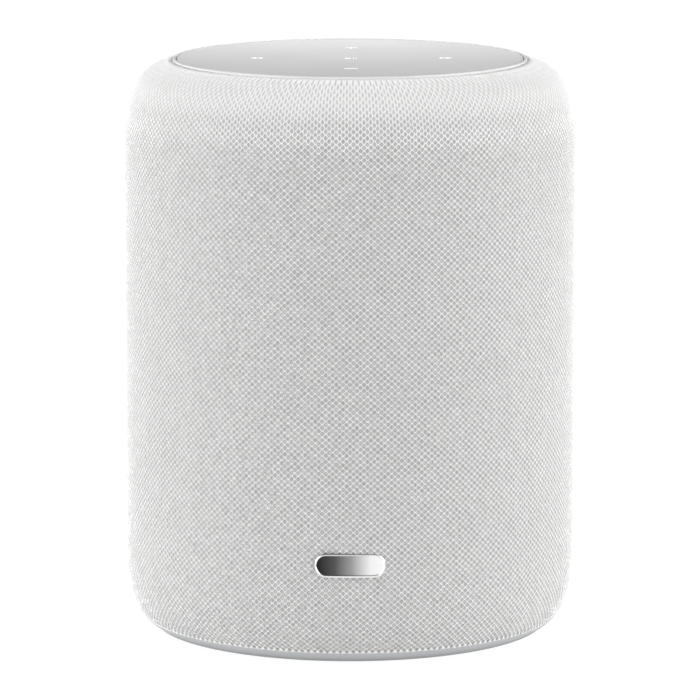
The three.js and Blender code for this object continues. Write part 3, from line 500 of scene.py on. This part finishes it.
def board_finish():
    """Green solder mask over a grid of copper tracks."""
    finish = Finish("solder_mask")
    place = finish.place()
    grid = {"Vector": place, "Scale": 260.0, "Mortar Size": 0.08}
    tracks = finish.node("ShaderNodeTexBrick", grid, offset=0.37).outputs["Fac"]
    cloud = finish.noise(place, 90.0, 2.0)
    mask = finish.mix(cloud, (0.010, 0.085, 0.035, 1), (0.016, 0.115, 0.05, 1))
    finish.paint(finish.mix(tracks, mask, (0.03, 0.19, 0.07, 1)))
    finish.bump(tracks, 0.03 * MM)
    finish.fix(Roughness=0.35, Coat_Weight=0.4)
    return finish.material


def cone_finish():
    """Black pulp with pressed fibres."""
    finish = Finish("pulp_cone")
    stretch = finish.node("ShaderNodeMapping", {"Vector": finish.place(), "Scale": (900.0, 300.0, 1500.0)})
    fibres = finish.noise(stretch.outputs[0], 1.0, 4.0, 0.7)
    finish.paint(finish.mix(fibres, grey(0.03), grey(0.07, 0.03)))
    finish.bump(fibres, 0.06 * MM)
    finish.fix(Roughness=0.88)
    return finish.material


def weave_finish(name, color, pitch):
    """Cloth of a plain weave. pitch is the distance between threads in millimetres."""
    finish = Finish(name)
    parts = finish.node("ShaderNodeSeparateXYZ", {0: finish.place()})
    turns = 2 * math.pi / (pitch * MM)
    across = finish.math("SINE", finish.math("MULTIPLY", parts.outputs[0], turns))
    along = finish.math("SINE", finish.math("MULTIPLY", parts.outputs[2], turns))
    threads = finish.math("MULTIPLY", across, along)
    finish.paint(finish.mix(finish.span(threads, -1, 1), scaled(color, 0.8), color))
    finish.bump(threads, 0.03 * MM)
    finish.fix(Roughness=0.8, Sheen_Weight=0.2)
    return finish.material


def winding_finish():
    """Enamelled copper wire laid in close turns."""
    finish = Finish("copper_winding")
    waves = finish.node("ShaderNodeTexWave", {"Vector": finish.place(), "Scale": 900.0}, bands_direction="Y")
    turns = waves.outputs["Fac"]
    finish.paint(finish.mix(turns, (0.30, 0.12, 0.05, 1), (0.60, 0.27, 0.13, 1)))
    finish.bump(turns, 0.05 * MM)
    finish.fix(Metallic=1.0, Roughness=0.32)
    return finish.material


def make_finishes():
    """One material for each of the record's material slots."""
    return {
        "touch_top": moulded_finish("panel_satin", grey(0.345), 0.55, 0.12, 0.002, gloss=0.1),
        "bezel": moulded_finish("bezel_satin", grey(0.62), 0.35, 0.2, 0.002),
        "base": base_finish(),
        "grille": moulded_finish("grille_plastic", grey(0.58), 0.55),
        "bay": moulded_finish("bay_plastic", grey(0.60, -0.01), 0.52, 0.3, 0.02),
        "sockets": moulded_finish("socket_plastic", grey(0.03), 0.45, 0.25, 0.015),
        "enclosure": moulded_finish("enclosure_plastic", grey(0.035), 0.6, 0.5, 0.03),
        "cable_jacket": moulded_finish("cable_jacket", grey(0.05), 0.55, 0.4, 0.01),
        "diffuser": moulded_finish("diffuser_plastic", grey(0.88), 0.5, 0.3, 0.004),
        "foot": rubber_finish("foot_rubber", 0.045),
        "soft_roll": rubber_finish("roll_rubber", 0.03),
        "badge": badge_finish(),
        "screws": metal_finish("screw_zinc", grey(0.55), 0.35, 0.003),
        "driver_steel": metal_finish("driver_steel", grey(0.48), 0.42, 0.004),
        "ferrite": moulded_finish("ferrite", grey(0.036), 0.75, 0.4, 0.03),
        "cone": cone_finish(),
        "silk": weave_finish("tweeter_silk", (0.66, 0.62, 0.55, 1), 0.35),
        "coil": winding_finish(),
        "contacts": metal_finish("contact_brass", (0.72, 0.52, 0.24, 1), 0.3, 0.002),
        "board": board_finish(),
        "light_metal": metal_finish("bead_blasted", grey(0.62), 0.5, 0.002),
    }


# ---------------------------------------------------------------- mesh helpers


def add_piece(name, mesh, finish, node=None, body="housing"):
    """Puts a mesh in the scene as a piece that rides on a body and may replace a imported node."""
    piece = bpy.data.objects.new(name, mesh)
    bpy.context.scene.collection.objects.link(piece)
    mesh.materials.append(finish)
    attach(piece, body)
    if node:
        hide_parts(node)
    return piece


def arc(centre_radius, centre_height, radius, start, end, count=6):
    """Points of an arc in a lathe outline; start and end are degrees, 0 outwards and 90 up."""
    points = []
    for step in range(count + 1):
        angle = math.radians(start + (end - start) * step / count)
        points.append((centre_radius + radius * math.cos(angle), centre_height + radius * math.sin(angle)))
    return points


def lathe(mesh, outline, segments=ROUND_SEGMENTS, centre=(0, 0)):
    """Adds a closed solid of revolution about Z to a bmesh. outline runs counter-clockwise in
    (radius, height), starting and ending on the axis or closing on itself."""
    rings = []
    for radius, height in outline:
        if radius == 0:
            rings.append([mesh.verts.new((*centre, height))])
            continue
        ring = []
        for step in range(segments):
            angle = 2 * math.pi * step / segments
            place = (centre[0] + radius * math.cos(angle), centre[1] + radius * math.sin(angle), height)
            ring.append(mesh.verts.new(place))
        rings.append(ring)
    closed = len(rings[0]) > 1
    pairs = list(zip(rings, rings[1:])) + ([(rings[-1], rings[0])] if closed else [])
    for lower, upper in pairs:
        for step in range(segments):
            after = (step + 1) % segments
            if len(lower) == 1:
                mesh.faces.new((lower[0], upper[after], upper[step]))
            elif len(upper) == 1:
                mesh.faces.new((lower[step], lower[after], upper[0]))
            else:
                mesh.faces.new((lower[step], lower[after], upper[after], upper[step]))


def finish_mesh(name, mesh, sharp_degrees=35):
    """Turns a bmesh into a mesh, smooth but for its sharp edges."""
    bmesh.ops.recalc_face_normals(mesh, faces=mesh.faces)
    data = bpy.data.meshes.new(name)
    mesh.to_mesh(data)
    mesh.free()
    data.shade_smooth()
    data.set_sharp_from_angle(angle=math.radians(sharp_degrees))
    return data


# ---------------------------------------------------------------- the knit


def corner_outline(corner, count):
    """Radii and heights along a quarter superellipse, from the wall to its apex."""
    angles = np.linspace(0, math.pi / 2, count)
    power = 2 / corner["exponent"]
    radii = corner["inner"] + (BODY_RADIUS - corner["inner"]) * np.clip(np.cos(angles), 0, 1) ** power
    heights = corner["start"] + (corner["apex"] - corner["start"]) * np.sin(angles) ** power
    return radii, heights


def knit_outline():
    """Lengths along the knit from its lower edge, and the radius and height at each."""
    foot_radii, foot_heights = corner_outline(FOOT, OUTLINE_POINTS)
    shoulder_radii, shoulder_heights = corner_outline(SHOULDER, OUTLINE_POINTS)
    above_hem = foot_heights >= SLEEVE_LOW.z
    outside_ring = shoulder_radii >= KNIT_TOP_RADIUS
    radii = np.concatenate([foot_radii[above_hem][::-1], shoulder_radii[outside_ring]])
    heights = np.concatenate([foot_heights[above_hem][::-1], shoulder_heights[outside_ring]])
    steps = np.hypot(np.diff(radii), np.diff(heights))
    lengths = np.concatenate([[0], np.cumsum(steps)])
    return lengths, radii, heights


def stitch_rows(lengths):
    """The count of rows of stitches, and each length's place in rows. The rows stretch where the
    knit is pulled in over the shoulder."""
    pulled = np.clip((lengths - STRETCH_START) / (lengths[-1] - STRETCH_START), 0, 1)
    pitch = ROW_PITCH * (1 + STRETCH_AMOUNT * pulled ** STRETCH_POWER)
    rows = np.concatenate([[0], np.cumsum(np.diff(lengths) / ((pitch[1:] + pitch[:-1]) / 2))])
    count = round(rows[-1])
    return count, rows * count / rows[-1]


def bay_cells(outline, rows):
    """The stitch cells that the socket bay takes out, and its true edges in columns and rows."""
    _, _, heights = outline
    half_angle = math.asin((BAY_HIGH.x + BAY_CLEARANCE) / BODY_RADIUS)
    edge_column = half_angle * STITCH_COLUMNS / (2 * math.pi)
    below_shoulder = heights <= SHOULDER["start"]
    edge_rows = []
    for height in (BAY_LOW.z - BAY_CLEARANCE, BAY_HIGH.z + BAY_CLEARANCE):
        edge_rows.append(np.interp(height, heights[below_shoulder], rows[below_shoulder]))
    return {
        "edge_column": edge_column,
        "columns": round(edge_column),
        "edge_rows": edge_rows,
        "rows": [round(edge) for edge in edge_rows],
    }


def knit_surface(column, row, outline, rows, inset):
    """Points of the knit at stitch places; column runs round from the back."""
    _, radii, heights = outline
    radius = np.interp(row, rows, radii)
    height = np.interp(row, rows, heights)
    step = 0.05
    run = np.interp(row + step, rows, radii) - np.interp(row - step, rows, radii)
    rise = np.interp(row + step, rows, heights) - np.interp(row - step, rows, heights)
    size = np.hypot(run, rise)
    radius = radius - inset * rise / size
    height = height + inset * run / size
    angle = math.pi / 2 + 2 * math.pi * column / STITCH_COLUMNS
    return np.stack([radius * np.cos(angle), radius * np.sin(angle), height], axis=-1)


def stitch_depth(column, row, row_count):
    """How deep the mesh is at a stitch place: 1 at a hole's centre, 0 on the yarns."""
    rising = column + row
    falling = column - row
    from_rising = rising - np.floor(rising + 0.5)
    from_falling = falling - np.floor(falling + 0.5)
    across = np.abs(from_rising + from_falling) / 2
    along = np.abs(from_rising - from_falling) / 2
    pulled = np.clip((row - row_count + PULLED_ROWS) / PULLED_ROWS, 0, 1)
    pulled = pulled * pulled * (3 - 2 * pulled)
    half_width = HOLE_HALF_WIDTH + (PULLED_HALF_WIDTH - HOLE_HALF_WIDTH) * pulled
    half_height = HOLE_HALF_HEIGHT + (PULLED_HALF_HEIGHT - HOLE_HALF_HEIGHT) * pulled
    reach = (across / half_width) ** HOLE_ROUNDNESS + (along / half_height) ** HOLE_ROUNDNESS
    hole_row = (np.floor(rising + 0.5) - np.floor(falling + 0.5)) / 2
    whole = np.abs(hole_row - row_count / 2) < row_count / 2 - EDGE_MARGIN
    return np.clip(DIMPLE_REACH - reach, 0, 1) * (1 - PULLED_SHALLOWER * pulled) * whole


def fit_to_bay(columns, row_places, source_columns, source_rows, bay):
    """Moves the points on the bay's edge exactly on to its outline."""
    low, high = bay["rows"]
    low_edge, high_edge = bay["edge_rows"]
    turned = (source_columns + STITCH_COLUMNS / 2) % STITCH_COLUMNS - STITCH_COLUMNS / 2
    in_rows = (source_rows >= low) & (source_rows <= high)
    in_columns = np.abs(turned) <= bay["columns"]
    side = in_rows & (np.abs(turned) == bay["columns"])
    shift = np.sign(turned) * (bay["edge_column"] - bay["columns"])
    columns = np.where(side, source_columns + shift, columns)
    row_places = np.where(in_columns & (source_rows == low), low_edge, row_places)
    row_places = np.where(in_columns & (source_rows == high), high_edge, row_places)
    return columns, row_places


def outer_points(outline, rows, row_count, bay):
    """The points of the outer face, several to each stitch, each a little out of place."""
    random = np.random.default_rng(RANDOM_SEED)
    fine_rows = np.arange(row_count * SAMPLES + 1) / SAMPLES
    column, row = np.meshgrid(np.arange(FINE_COLUMNS) / SAMPLES, fine_rows)
    dimple = HOLE_DEPTH * stitch_depth(column, row, row_count)
    crossing = ((np.cos(2 * math.pi * column) - np.cos(2 * math.pi * row)) / 2) ** 2
    loft = YARN_LOFT * crossing + random.normal(0, YARN_UNEVENNESS, column.shape)
    moved_column = column + random.normal(0, STITCH_SCATTER, column.shape)
    moved_row = row + random.normal(0, STITCH_SCATTER, column.shape)
    moved_row[0] = row[0]
    moved_row[-1] = row[-1]
    moved_column, moved_row = fit_to_bay(moved_column, moved_row, column, row, bay)
    return knit_surface(moved_column, moved_row, outline, rows, dimple - loft).reshape(-1, 3)


def inner_points(outline, rows, row_count, bay):
    """The points of the plain inner face, one to each stitch."""
    column, row = np.meshgrid(np.arange(STITCH_COLUMNS), np.arange(row_count + 1))
    fitted_column, fitted_row = fit_to_bay(column, row, column, row, bay)
    return knit_surface(fitted_column, fitted_row, outline, rows, KNIT_THICKNESS).reshape(-1, 3)


def kept_cells(row_count, bay):
    """Which stitch cells the knit has: all but those in the bay."""
    column, row = np.meshgrid(np.arange(STITCH_COLUMNS), np.arange(row_count))
    low, high = bay["rows"]
    near_back = (column < bay["columns"]) | (column >= STITCH_COLUMNS - bay["columns"])
    return ~(near_back & (row >= low) & (row < high))


def outer_index(columns, row_numbers):
    return row_numbers * FINE_COLUMNS + columns % FINE_COLUMNS


def inner_index(columns, row_numbers, outer_count):
    return outer_count + row_numbers * STITCH_COLUMNS + columns % STITCH_COLUMNS


def outer_faces(kept):
    """The outer face's squares, each started at the corner that lets its diagonal follow a yarn."""
    shown = np.repeat(np.repeat(kept, SAMPLES, axis=0), SAMPLES, axis=1)
    fine_row, fine_column = np.nonzero(shown)
    half = SAMPLES // 2
    falling = (fine_column // half + fine_row // half) % 2 == 0
    square = np.array([(0, 0), (1, 0), (1, 1), (0, 1)])
    turned_square = np.roll(square, -1, axis=0)
    offsets = np.where(falling[:, None, None], turned_square[None], square[None])
    columns = fine_column[:, None] + offsets[..., 0]
    row_numbers = fine_row[:, None] + offsets[..., 1]
    return outer_index(columns, row_numbers), columns / SAMPLES, row_numbers / SAMPLES, "outer"


def inner_faces(kept, outer_count):
    """The inner face's squares, one to each stitch cell."""
    cells = np.argwhere(kept)
    square = np.array([(0, 0), (0, 1), (1, 1), (1, 0)])
    columns = cells[:, 1][:, None] + square[None, :, 0]
    row_numbers = cells[:, 0][:, None] + square[None, :, 1]
    return inner_index(columns, row_numbers, outer_count), columns, row_numbers, "inner"


def rim_faces(kept, outer_count):
    """The faces that close the sheet along its hem, its upper edge and the bay."""
    nothing = np.zeros((1, STITCH_COLUMNS), bool)
    sides = [
        (np.vstack([nothing, kept[:-1]]), (0, 0), (1, 0)),
        (np.vstack([kept[1:], nothing]), (1, 1), (0, 1)),
        (np.roll(kept, -1, axis=1), (1, 0), (1, 1)),
        (np.roll(kept, 1, axis=1), (0, 1), (0, 0)),
    ]
    back_steps = np.arange(SAMPLES, -1, -1)
    faces = []
    for neighbour, start, end in sides:
        bare = np.argwhere(kept & ~neighbour)
        start_column = bare[:, 1] + start[0]
        start_row = bare[:, 0] + start[1]
        step_column = end[0] - start[0]
        step_row = end[1] - start[1]
        columns = start_column[:, None] * SAMPLES + step_column * back_steps[None]
        row_numbers = start_row[:, None] * SAMPLES + step_row * back_steps[None]
        pair_columns = np.stack([start_column, start_column + step_column], axis=1)
        pair_rows = np.stack([start_row, start_row + step_row], axis=1)
        inner = inner_index(pair_columns, pair_rows, outer_count)
        index = np.concatenate([outer_index(columns, row_numbers), inner], axis=1)
        all_columns = np.concatenate([columns / SAMPLES, pair_columns], axis=1)
        all_rows = np.concatenate([row_numbers / SAMPLES, pair_rows], axis=1)
        faces.append((index, all_columns, all_rows, "rim"))
    return faces


def make_knit():
    """The whole knit sleeve as one closed sheet: every hole is a dimple in its outer face."""
    outline = knit_outline()
    row_count, rows = stitch_rows(outline[0])
    bay = bay_cells(outline, rows)
    outer = outer_points(outline, rows, row_count, bay)
    inner = inner_points(outline, rows, row_count, bay)
    kept = kept_cells(row_count, bay)
    faces = [outer_faces(kept), inner_faces(kept, len(outer)), *rim_faces(kept, len(outer))]
    mesh = knit_mesh(np.concatenate([outer, inner]), faces, row_count)
    piece = add_piece("knit_sleeve", mesh, knit_finish(row_count), "fabric_sleeve")


# Where each kind of face lies in the plain unwrapping: its lower edge and its height.
UNWRAPPED_BANDS = {"outer": (0.0, 0.90), "rim": (0.905, 0.01), "inner": (0.92, 0.07)}


def knit_mesh(points, faces, row_count):
    """Builds the mesh from groups of faces, with the stitch places in one UV layer and a plain
    unwrapping in another."""
    loops = np.concatenate([index.ravel() for index, _, _, _ in faces])
    used, loops = np.unique(loops, return_inverse=True)
    sizes = np.concatenate([np.full(len(index), index.shape[1]) for index, _, _, _ in faces])
    starts = np.concatenate([[0], np.cumsum(sizes)[:-1]])

    mesh = bpy.data.meshes.new("knit_sleeve")
    mesh.vertices.add(len(used))
    mesh.vertices.foreach_set("co", points[used].ravel().astype(np.float32))
    mesh.loops.add(len(loops))
    mesh.loops.foreach_set("vertex_index", loops.astype(np.int32))
    mesh.polygons.add(len(sizes))
    mesh.polygons.foreach_set("loop_start", starts.astype(np.int32))
    mesh.update(calc_edges=True)
    flat_faces = np.concatenate([np.full(len(index), kind == "rim") for index, _, _, kind in faces])
    mesh.polygons.foreach_set("use_smooth", ~flat_faces)

    stitches = np.concatenate([np.stack([c, r], axis=-1).reshape(-1, 2) for _, c, r, _ in faces])
    mesh.uv_layers.new(name="knit").data.foreach_set("uv", stitches.ravel().astype(np.float32))
    places = []
    for _, columns, row_numbers, kind in faces:
        base, share = UNWRAPPED_BANDS[kind]
        place = np.stack([columns / STITCH_COLUMNS, base + share * row_numbers / row_count], axis=-1)
        places.append(place.reshape(-1, 2))
    unwrapped = np.concatenate(places)
    mesh.uv_layers.new(name="OFBake").data.foreach_set("uv", unwrapped.ravel().astype(np.float32))
    mesh.validate()
    return mesh


# ---------------------------------------------------------------- ring, panel and marks


def make_ring(finish):
    """The thin bright ring round the panel, with a ledge that the panel sits on."""
    inner = RING_OUTER - RING_WIDTH
    ledge = PANEL_LOW.z - CAD_GAP
    top = RING_HIGH.z
    outline = [(RING_LEDGE_RADIUS, RING_LOW.z), (RING_OUTER, RING_LOW.z)]
    r = RING_OUTER_ROUNDING
    outline += arc(RING_OUTER - r, top - r, r, 0, 90, 8)
    r = RING_INNER_ROUNDING
    outline += arc(inner + r, top - r, r, 90, 180)
    outline += [(inner, ledge), (RING_LEDGE_RADIUS, ledge)]
    mesh = bmesh.new()
    lathe(mesh, outline)
    return add_piece("panel_ring", finish_mesh("panel_ring", mesh), finish, "top_ring")


def panel_height(radius):
    """The height of the panel's shallow dish."""
    return PANEL_HIGH.z - PANEL_DISH * (1 - (radius / PANEL_RADIUS) ** 2)


def make_panel(finish):
    """The touch panel: a shallow dish with a rounded edge."""
    r = PANEL_ROUNDING
    outline = [(0, PANEL_LOW.z), (PANEL_RADIUS, PANEL_LOW.z)]
    outline += arc(PANEL_RADIUS - r, PANEL_HIGH.z - r, r, 0, 90)
    for step in range(1, PANEL_STEPS):
        radius = (PANEL_RADIUS - r) * (1 - step / PANEL_STEPS)
        outline.append((radius, panel_height(radius)))
    outline.append((0, panel_height(0)))
    mesh = bmesh.new()
    lathe(mesh, outline)
    return add_piece("touch_surface", finish_mesh("touch_surface", mesh), finish, "touch_panel")


def bar(centre_x, centre_y, length, width, turned=False, count=10):
    """The outline of a bar with round ends."""
    points = []
    reach = (length - width) / 2
    for end in (0, 1):
        for step in range(count + 1):
            angle = -math.pi / 2 + math.pi * step / count + math.pi * end
            x = (reach if end == 0 else -reach) + width / 2 * math.cos(angle)
            y = width / 2 * math.sin(angle)
            points.append((centre_x - y, centre_y + x) if turned else (centre_x + x, centre_y + y))
    return points


def wedge(centre_x, centre_y, size, facing=1):
    """A triangle that points along +X, or -X where facing is -1."""
    half = size / 2
    points = [(centre_x - facing * half, centre_y - half), (centre_x + facing * half, centre_y)]
    points.append((centre_x - facing * half, centre_y + half))
    return points if facing > 0 else points[::-1]


def plus(centre_x, centre_y, length, width):
    """The outline of a plus with square inner corners and round ends."""
    points = []
    for quarter in range(4):
        turn = quarter * math.pi / 2
        arm = [(length / 2 - width / 2 + width / 2 * math.cos(a), width / 2 * math.sin(a))
               for a in np.linspace(-math.pi / 2, math.pi / 2, 9)]
        arm.append((width / 2, width / 2))
        for x, y in arm:
            turned_x = x * math.cos(turn) - y * math.sin(turn)
            turned_y = x * math.sin(turn) + y * math.cos(turn)
            points.append((centre_x + turned_x, centre_y + turned_y))
    return points


def make_mark(name, outlines, finish):
    """A thin white mark let into the panel, from closed outlines seen from above."""
    mesh = bmesh.new()
    for outline in outlines:
        tops = []
        bottoms = []
        for x, y in outline:
            height = panel_height(math.hypot(x, y))
            tops.append(mesh.verts.new((x, y, height + MARK_HEIGHT)))
            bottoms.append(mesh.verts.new((x, y, height - MARK_SUNK)))
        mesh.faces.new(tops)
        mesh.faces.new(bottoms[::-1])
        for index in range(len(outline)):
            after = (index + 1) % len(outline)
            mesh.faces.new((bottoms[index], bottoms[after], tops[after], tops[index]))
    return add_piece(name, finish_mesh(name, mesh), finish)


def mark_finish():
    """Frosted white that glows a little, lit from below by the light guide."""
    finish = Finish("mark_white")
    cloud = finish.noise(finish.place(), 900.0, 2.0)
    finish.paint(finish.mix(cloud, grey(0.90), grey(0.96)))
    finish.fix(Roughness=0.5, Emission_Color=grey(1.0), Emission_Strength=0.45)
    return finish.material


def make_marks():
    """Plus behind, minus in front, previous and next at the sides, play and pause in the middle."""
    finish = mark_finish()
    middle = MARK_SHIFT
    make_mark("mark_plus", [plus(middle, MARK_RADIUS, PLUS_LENGTH, FINE_STROKE)], finish)
    make_mark("mark_minus", [bar(middle, -MARK_RADIUS, MINUS_LENGTH, MARK_STROKE)], finish)
    play = wedge(middle + PLAY_SHIFT, 0, PLAY_SIZE)
    pause = [bar(middle + x, 0, PAUSE_LENGTH, FINE_STROKE, turned=True) for x in PAUSE_SHIFTS]
    make_mark("mark_play_pause", [play, *pause], finish)
    for name, facing in (("mark_previous", -1), ("mark_next", 1)):
        x = middle + facing * MARK_RADIUS
        pointers = [wedge(x + shift, 0, SKIP_SIZE, facing) for shift in SKIP_SHIFTS]
        make_mark(name, pointers, finish)


# ---------------------------------------------------------------- base


def foot_radius(height):
    """The body's radius on the foot's curve at a height."""
    radii, heights = corner_outline(FOOT, OUTLINE_POINTS)
    return float(np.interp(height, heights[::-1], radii[::-1]))


def make_base(finish):
    """The moulded base: its visible edge carries on the foot's curve below the knit."""
    inside = TRAY_FLOOR + TRAY_THICKNESS
    outline = [(0, TRAY_FLOOR), (TRAY_RECESS_RADIUS, TRAY_FLOOR)]
    r = TRAY_EDGE_ROUNDING
    outline += arc(TRAY_RECESS_RADIUS + r, TRAY_EDGE + r, r, 180, 270)
    outline.append((TRAY_EDGE_RADIUS, TRAY_EDGE))
    r = TRAY_LIP_ROUNDING
    curve_height = TRAY_LIP - r - TRAY_CURVE_LOW
    for step in range(TRAY_CURVE_STEPS + 1):
        height = TRAY_CURVE_LOW + curve_height * step / TRAY_CURVE_STEPS
        outline.append((foot_radius(height), height))
    outline += arc(foot_radius(TRAY_LIP) - r, TRAY_LIP - r, r, 20, 90)
    outline.append((TRAY_RIM_RADIUS, TRAY_LIP))
    outline += [(radius, TRAY_RIM_TOP) for radius in TRAY_RIM_TOP_RADII]
    outline += [(TRAY_INNER_RADIUS, inside), (0, inside)]
    mesh = bmesh.new()
    lathe(mesh, outline)
    low = inside - POST_SINK
    tube = [(POST_BORE, low), (POST_RADIUS, low), (POST_RADIUS, POST_TOP), (POST_BORE, POST_TOP)]
    for centre in TRAY_POSTS:
        lathe(mesh, tube, POST_SEGMENTS, centre)
    return add_piece("base_shell", finish_mesh("base_shell", mesh), finish, "base_tray")


# ---------------------------------------------------------------- badge


def capsule_ring(reach, radius, arc_count=12, line_count=16):
    """Points of a capsule's upper half, from its right tip over the top to its left tip."""
    upper = []
    for step in range(arc_count):
        angle = math.pi / 2 * step / arc_count
        upper.append((reach + radius * math.cos(angle), radius * math.sin(angle)))
    for step in range(line_count + 1):
        upper.append((reach - 2 * reach * step / line_count, radius))
    for step in range(1, arc_count + 1):
        angle = math.pi / 2 * (1 + step / arc_count)
        upper.append((-reach + radius * math.cos(angle), radius * math.sin(angle)))
    return upper


def make_badge(finish):
    """A plain capsule plate bent to the body, with a raised rim round a flat field."""
    width = BADGE_HIGH.x - BADGE_LOW.x
    height = BADGE_HIGH.z - BADGE_LOW.z
    middle = (BADGE_HIGH.z + BADGE_LOW.z) / 2
    reach = (width - height) / 2
    mesh = bmesh.new()

    def bend(x, z, proud):
        angle = x / BODY_RADIUS
        radius = BODY_RADIUS + proud
        return mesh.verts.new((radius * math.sin(angle), -radius * math.cos(angle), middle + z))

    rings = []
    for inset, proud in BADGE_PROFILE:
        upper = capsule_ring(reach, height / 2 - inset)
        lower = [(x, -z) for x, z in upper[1:-1]][::-1]
        rings.append([bend(x, z, proud) for x, z in upper + lower])
    count = len(rings[0])
    for outer, inner in zip(rings, rings[1:]):
        for index in range(count):
            after = (index + 1) % count
            mesh.faces.new((outer[index], outer[after], inner[after], inner[index]))
    for ring in (rings[0], rings[-1]):
        for index in range(count // 2):
            across = (count - index) % count
            corners = [ring[index], ring[index + 1], ring[across - 1], ring[across]]
            mesh.faces.new(list(dict.fromkeys(corners)))
    return add_piece("badge_plate", finish_mesh("badge_plate", mesh), finish, "front_badge")


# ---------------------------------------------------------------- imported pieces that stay


def softening():
    """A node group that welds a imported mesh, shades its round faces smoothly and keeps its edges."""
    group = bpy.data.node_groups.new("soften", "GeometryNodeTree")
    group.interface.new_socket("Geometry", in_out="INPUT", socket_type="NodeSocketGeometry")
    group.interface.new_socket("Geometry", in_out="OUTPUT", socket_type="NodeSocketGeometry")
    start = group.nodes.new("NodeGroupInput")
    end = group.nodes.new("NodeGroupOutput")
    weld = group.nodes.new("GeometryNodeMergeByDistance")
    weld.inputs["Distance"].default_value = WELD_DISTANCE
    angle = group.nodes.new("GeometryNodeInputMeshEdgeAngle")
    below = group.nodes.new("FunctionNodeCompare")
    below.operation = "LESS_THAN"
    below.inputs[1].default_value = SMOOTH_ANGLE
    faces = group.nodes.new("GeometryNodeSetShadeSmooth")
    faces.domain = "FACE"
    edges = group.nodes.new("GeometryNodeSetShadeSmooth")
    edges.domain = "EDGE"
    link = group.links.new
    link(start.outputs[0], weld.inputs["Geometry"])
    link(weld.outputs[0], faces.inputs["Geometry"])
    link(faces.outputs[0], edges.inputs["Geometry"])
    link(angle.outputs["Unsigned Angle"], below.inputs[0])
    link(below.outputs[0], edges.inputs["Shade Smooth"])
    link(edges.outputs[0], end.inputs[0])
    return group


def dress_packed_pieces(finishes):
    """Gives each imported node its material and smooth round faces."""
    group = softening()
    for subpart in frame["record"]["subparts"]:
        node = frame["nodes"].get(subpart["node"])
        if node is None:
            continue
        finish = finishes.get(subpart["material_slot"])
        if finish is None:
            continue
        if node.material_slots:
            node.material_slots[0].material = finish
        else:
            node.data.materials.append(finish)
        modifier = node.modifiers.new("soften", "NODES")
        modifier.node_group = group


# ---------------------------------------------------------------- floor and light


def make_floor():
    """A wide, plain white floor."""
    data = bpy.data.meshes.new("floor")
    reach = FLOOR_REACH
    corners = [(-reach, -reach, 0), (reach, -reach, 0), (reach, reach, 0), (-reach, reach, 0)]
    data.from_pydata(corners, [], [(0, 1, 2, 3)])
    floor = bpy.data.objects.new("floor", data)
    bpy.context.scene.collection.objects.link(floor)
    finish = Finish("floor_white")
    cloud = finish.noise(finish.place(), 3.0, 1.0)
    finish.paint(finish.mix(cloud, grey(0.07), grey(0.08)))
    finish.fix(Roughness=0.9, Emission_Color=grey(1.0), Emission_Strength=0.95, Specular_IOR_Level=0.0)
    data.materials.append(finish.material)


def make_sky():
    """Soft white light all round, strongest from the two front corners, with a pale band at the horizon."""
    world = bpy.data.worlds.new("studio")
    world.use_nodes = True
    nodes = Nodes(world.node_tree)
    background = world.node_tree.nodes["Background"]
    background.inputs["Color"].default_value = grey(1.0)
    direction = nodes.node("ShaderNodeTexCoord").outputs["Generated"]
    signed = nodes.node("ShaderNodeSeparateXYZ", {0: direction})
    absolute = nodes.node("ShaderNodeVectorMath", {0: direction}, operation="ABSOLUTE")
    parts = nodes.node("ShaderNodeSeparateXYZ", {0: absolute.outputs[0]})
    sides = nodes.span(parts.outputs[0], SIDES_FROM, SIDES_FULL_AT, 0.0, SKY_SIDES)
    facing = nodes.span(signed.outputs[1], -BEHIND_SINE, BEHIND_SINE, 1.0, SIDES_BEHIND)
    low = SKY_BASE + SKY_HORIZON
    horizon = nodes.span(parts.outputs[2], HORIZON_SINE / 3, HORIZON_SINE, low, SKY_BASE)
    total = nodes.math("ADD", nodes.math("MULTIPLY", sides, facing), horizon)
    nodes.set(background.inputs["Strength"], total)
    bpy.context.scene.world = world


def make_light(name, place, target, size, watts, receivers=()):
    """A rectangular softbox that faces a target. With receivers it lights only those pieces, and
    leaves no glare on them."""
    data = bpy.data.lights.new(name, "AREA")
    data.shape = "RECTANGLE"
    data.size, data.size_y = size
    data.energy = watts
    light = bpy.data.objects.new(name, data)
    light.location = place
    light.rotation_euler = (Vector(place) - Vector(target)).to_track_quat("Z", "Y").to_euler()
    light.visible_camera = False
    bpy.context.scene.collection.objects.link(light)
    if receivers:
        light.visible_glossy = False
        lit = bpy.data.collections.new(name + "_receivers")
        for piece in receivers:
            lit.objects.link(piece)
        light.light_linking.receiver_collection = lit


def make_studio(top_pieces):
    """The floor, the sky, a softbox over the front and one behind that grazes the top."""
    make_floor()
    make_sky()
    make_light("front_softbox", **FRONT_LIGHT)
    make_light("top_softbox", **TOP_LIGHT, receivers=top_pieces)
    bpy.context.scene.view_settings.view_transform = "Standard"


# ---------------------------------------------------------------- the speaker

make_camera()
FINISHES = make_finishes()
dress_packed_pieces(FINISHES)
make_knit()
make_ring(FINISHES["bezel"])
panel = make_panel(FINISHES["touch_top"])
make_marks()
make_base(FINISHES["base"])
make_badge(FINISHES["badge"])
make_studio([panel])
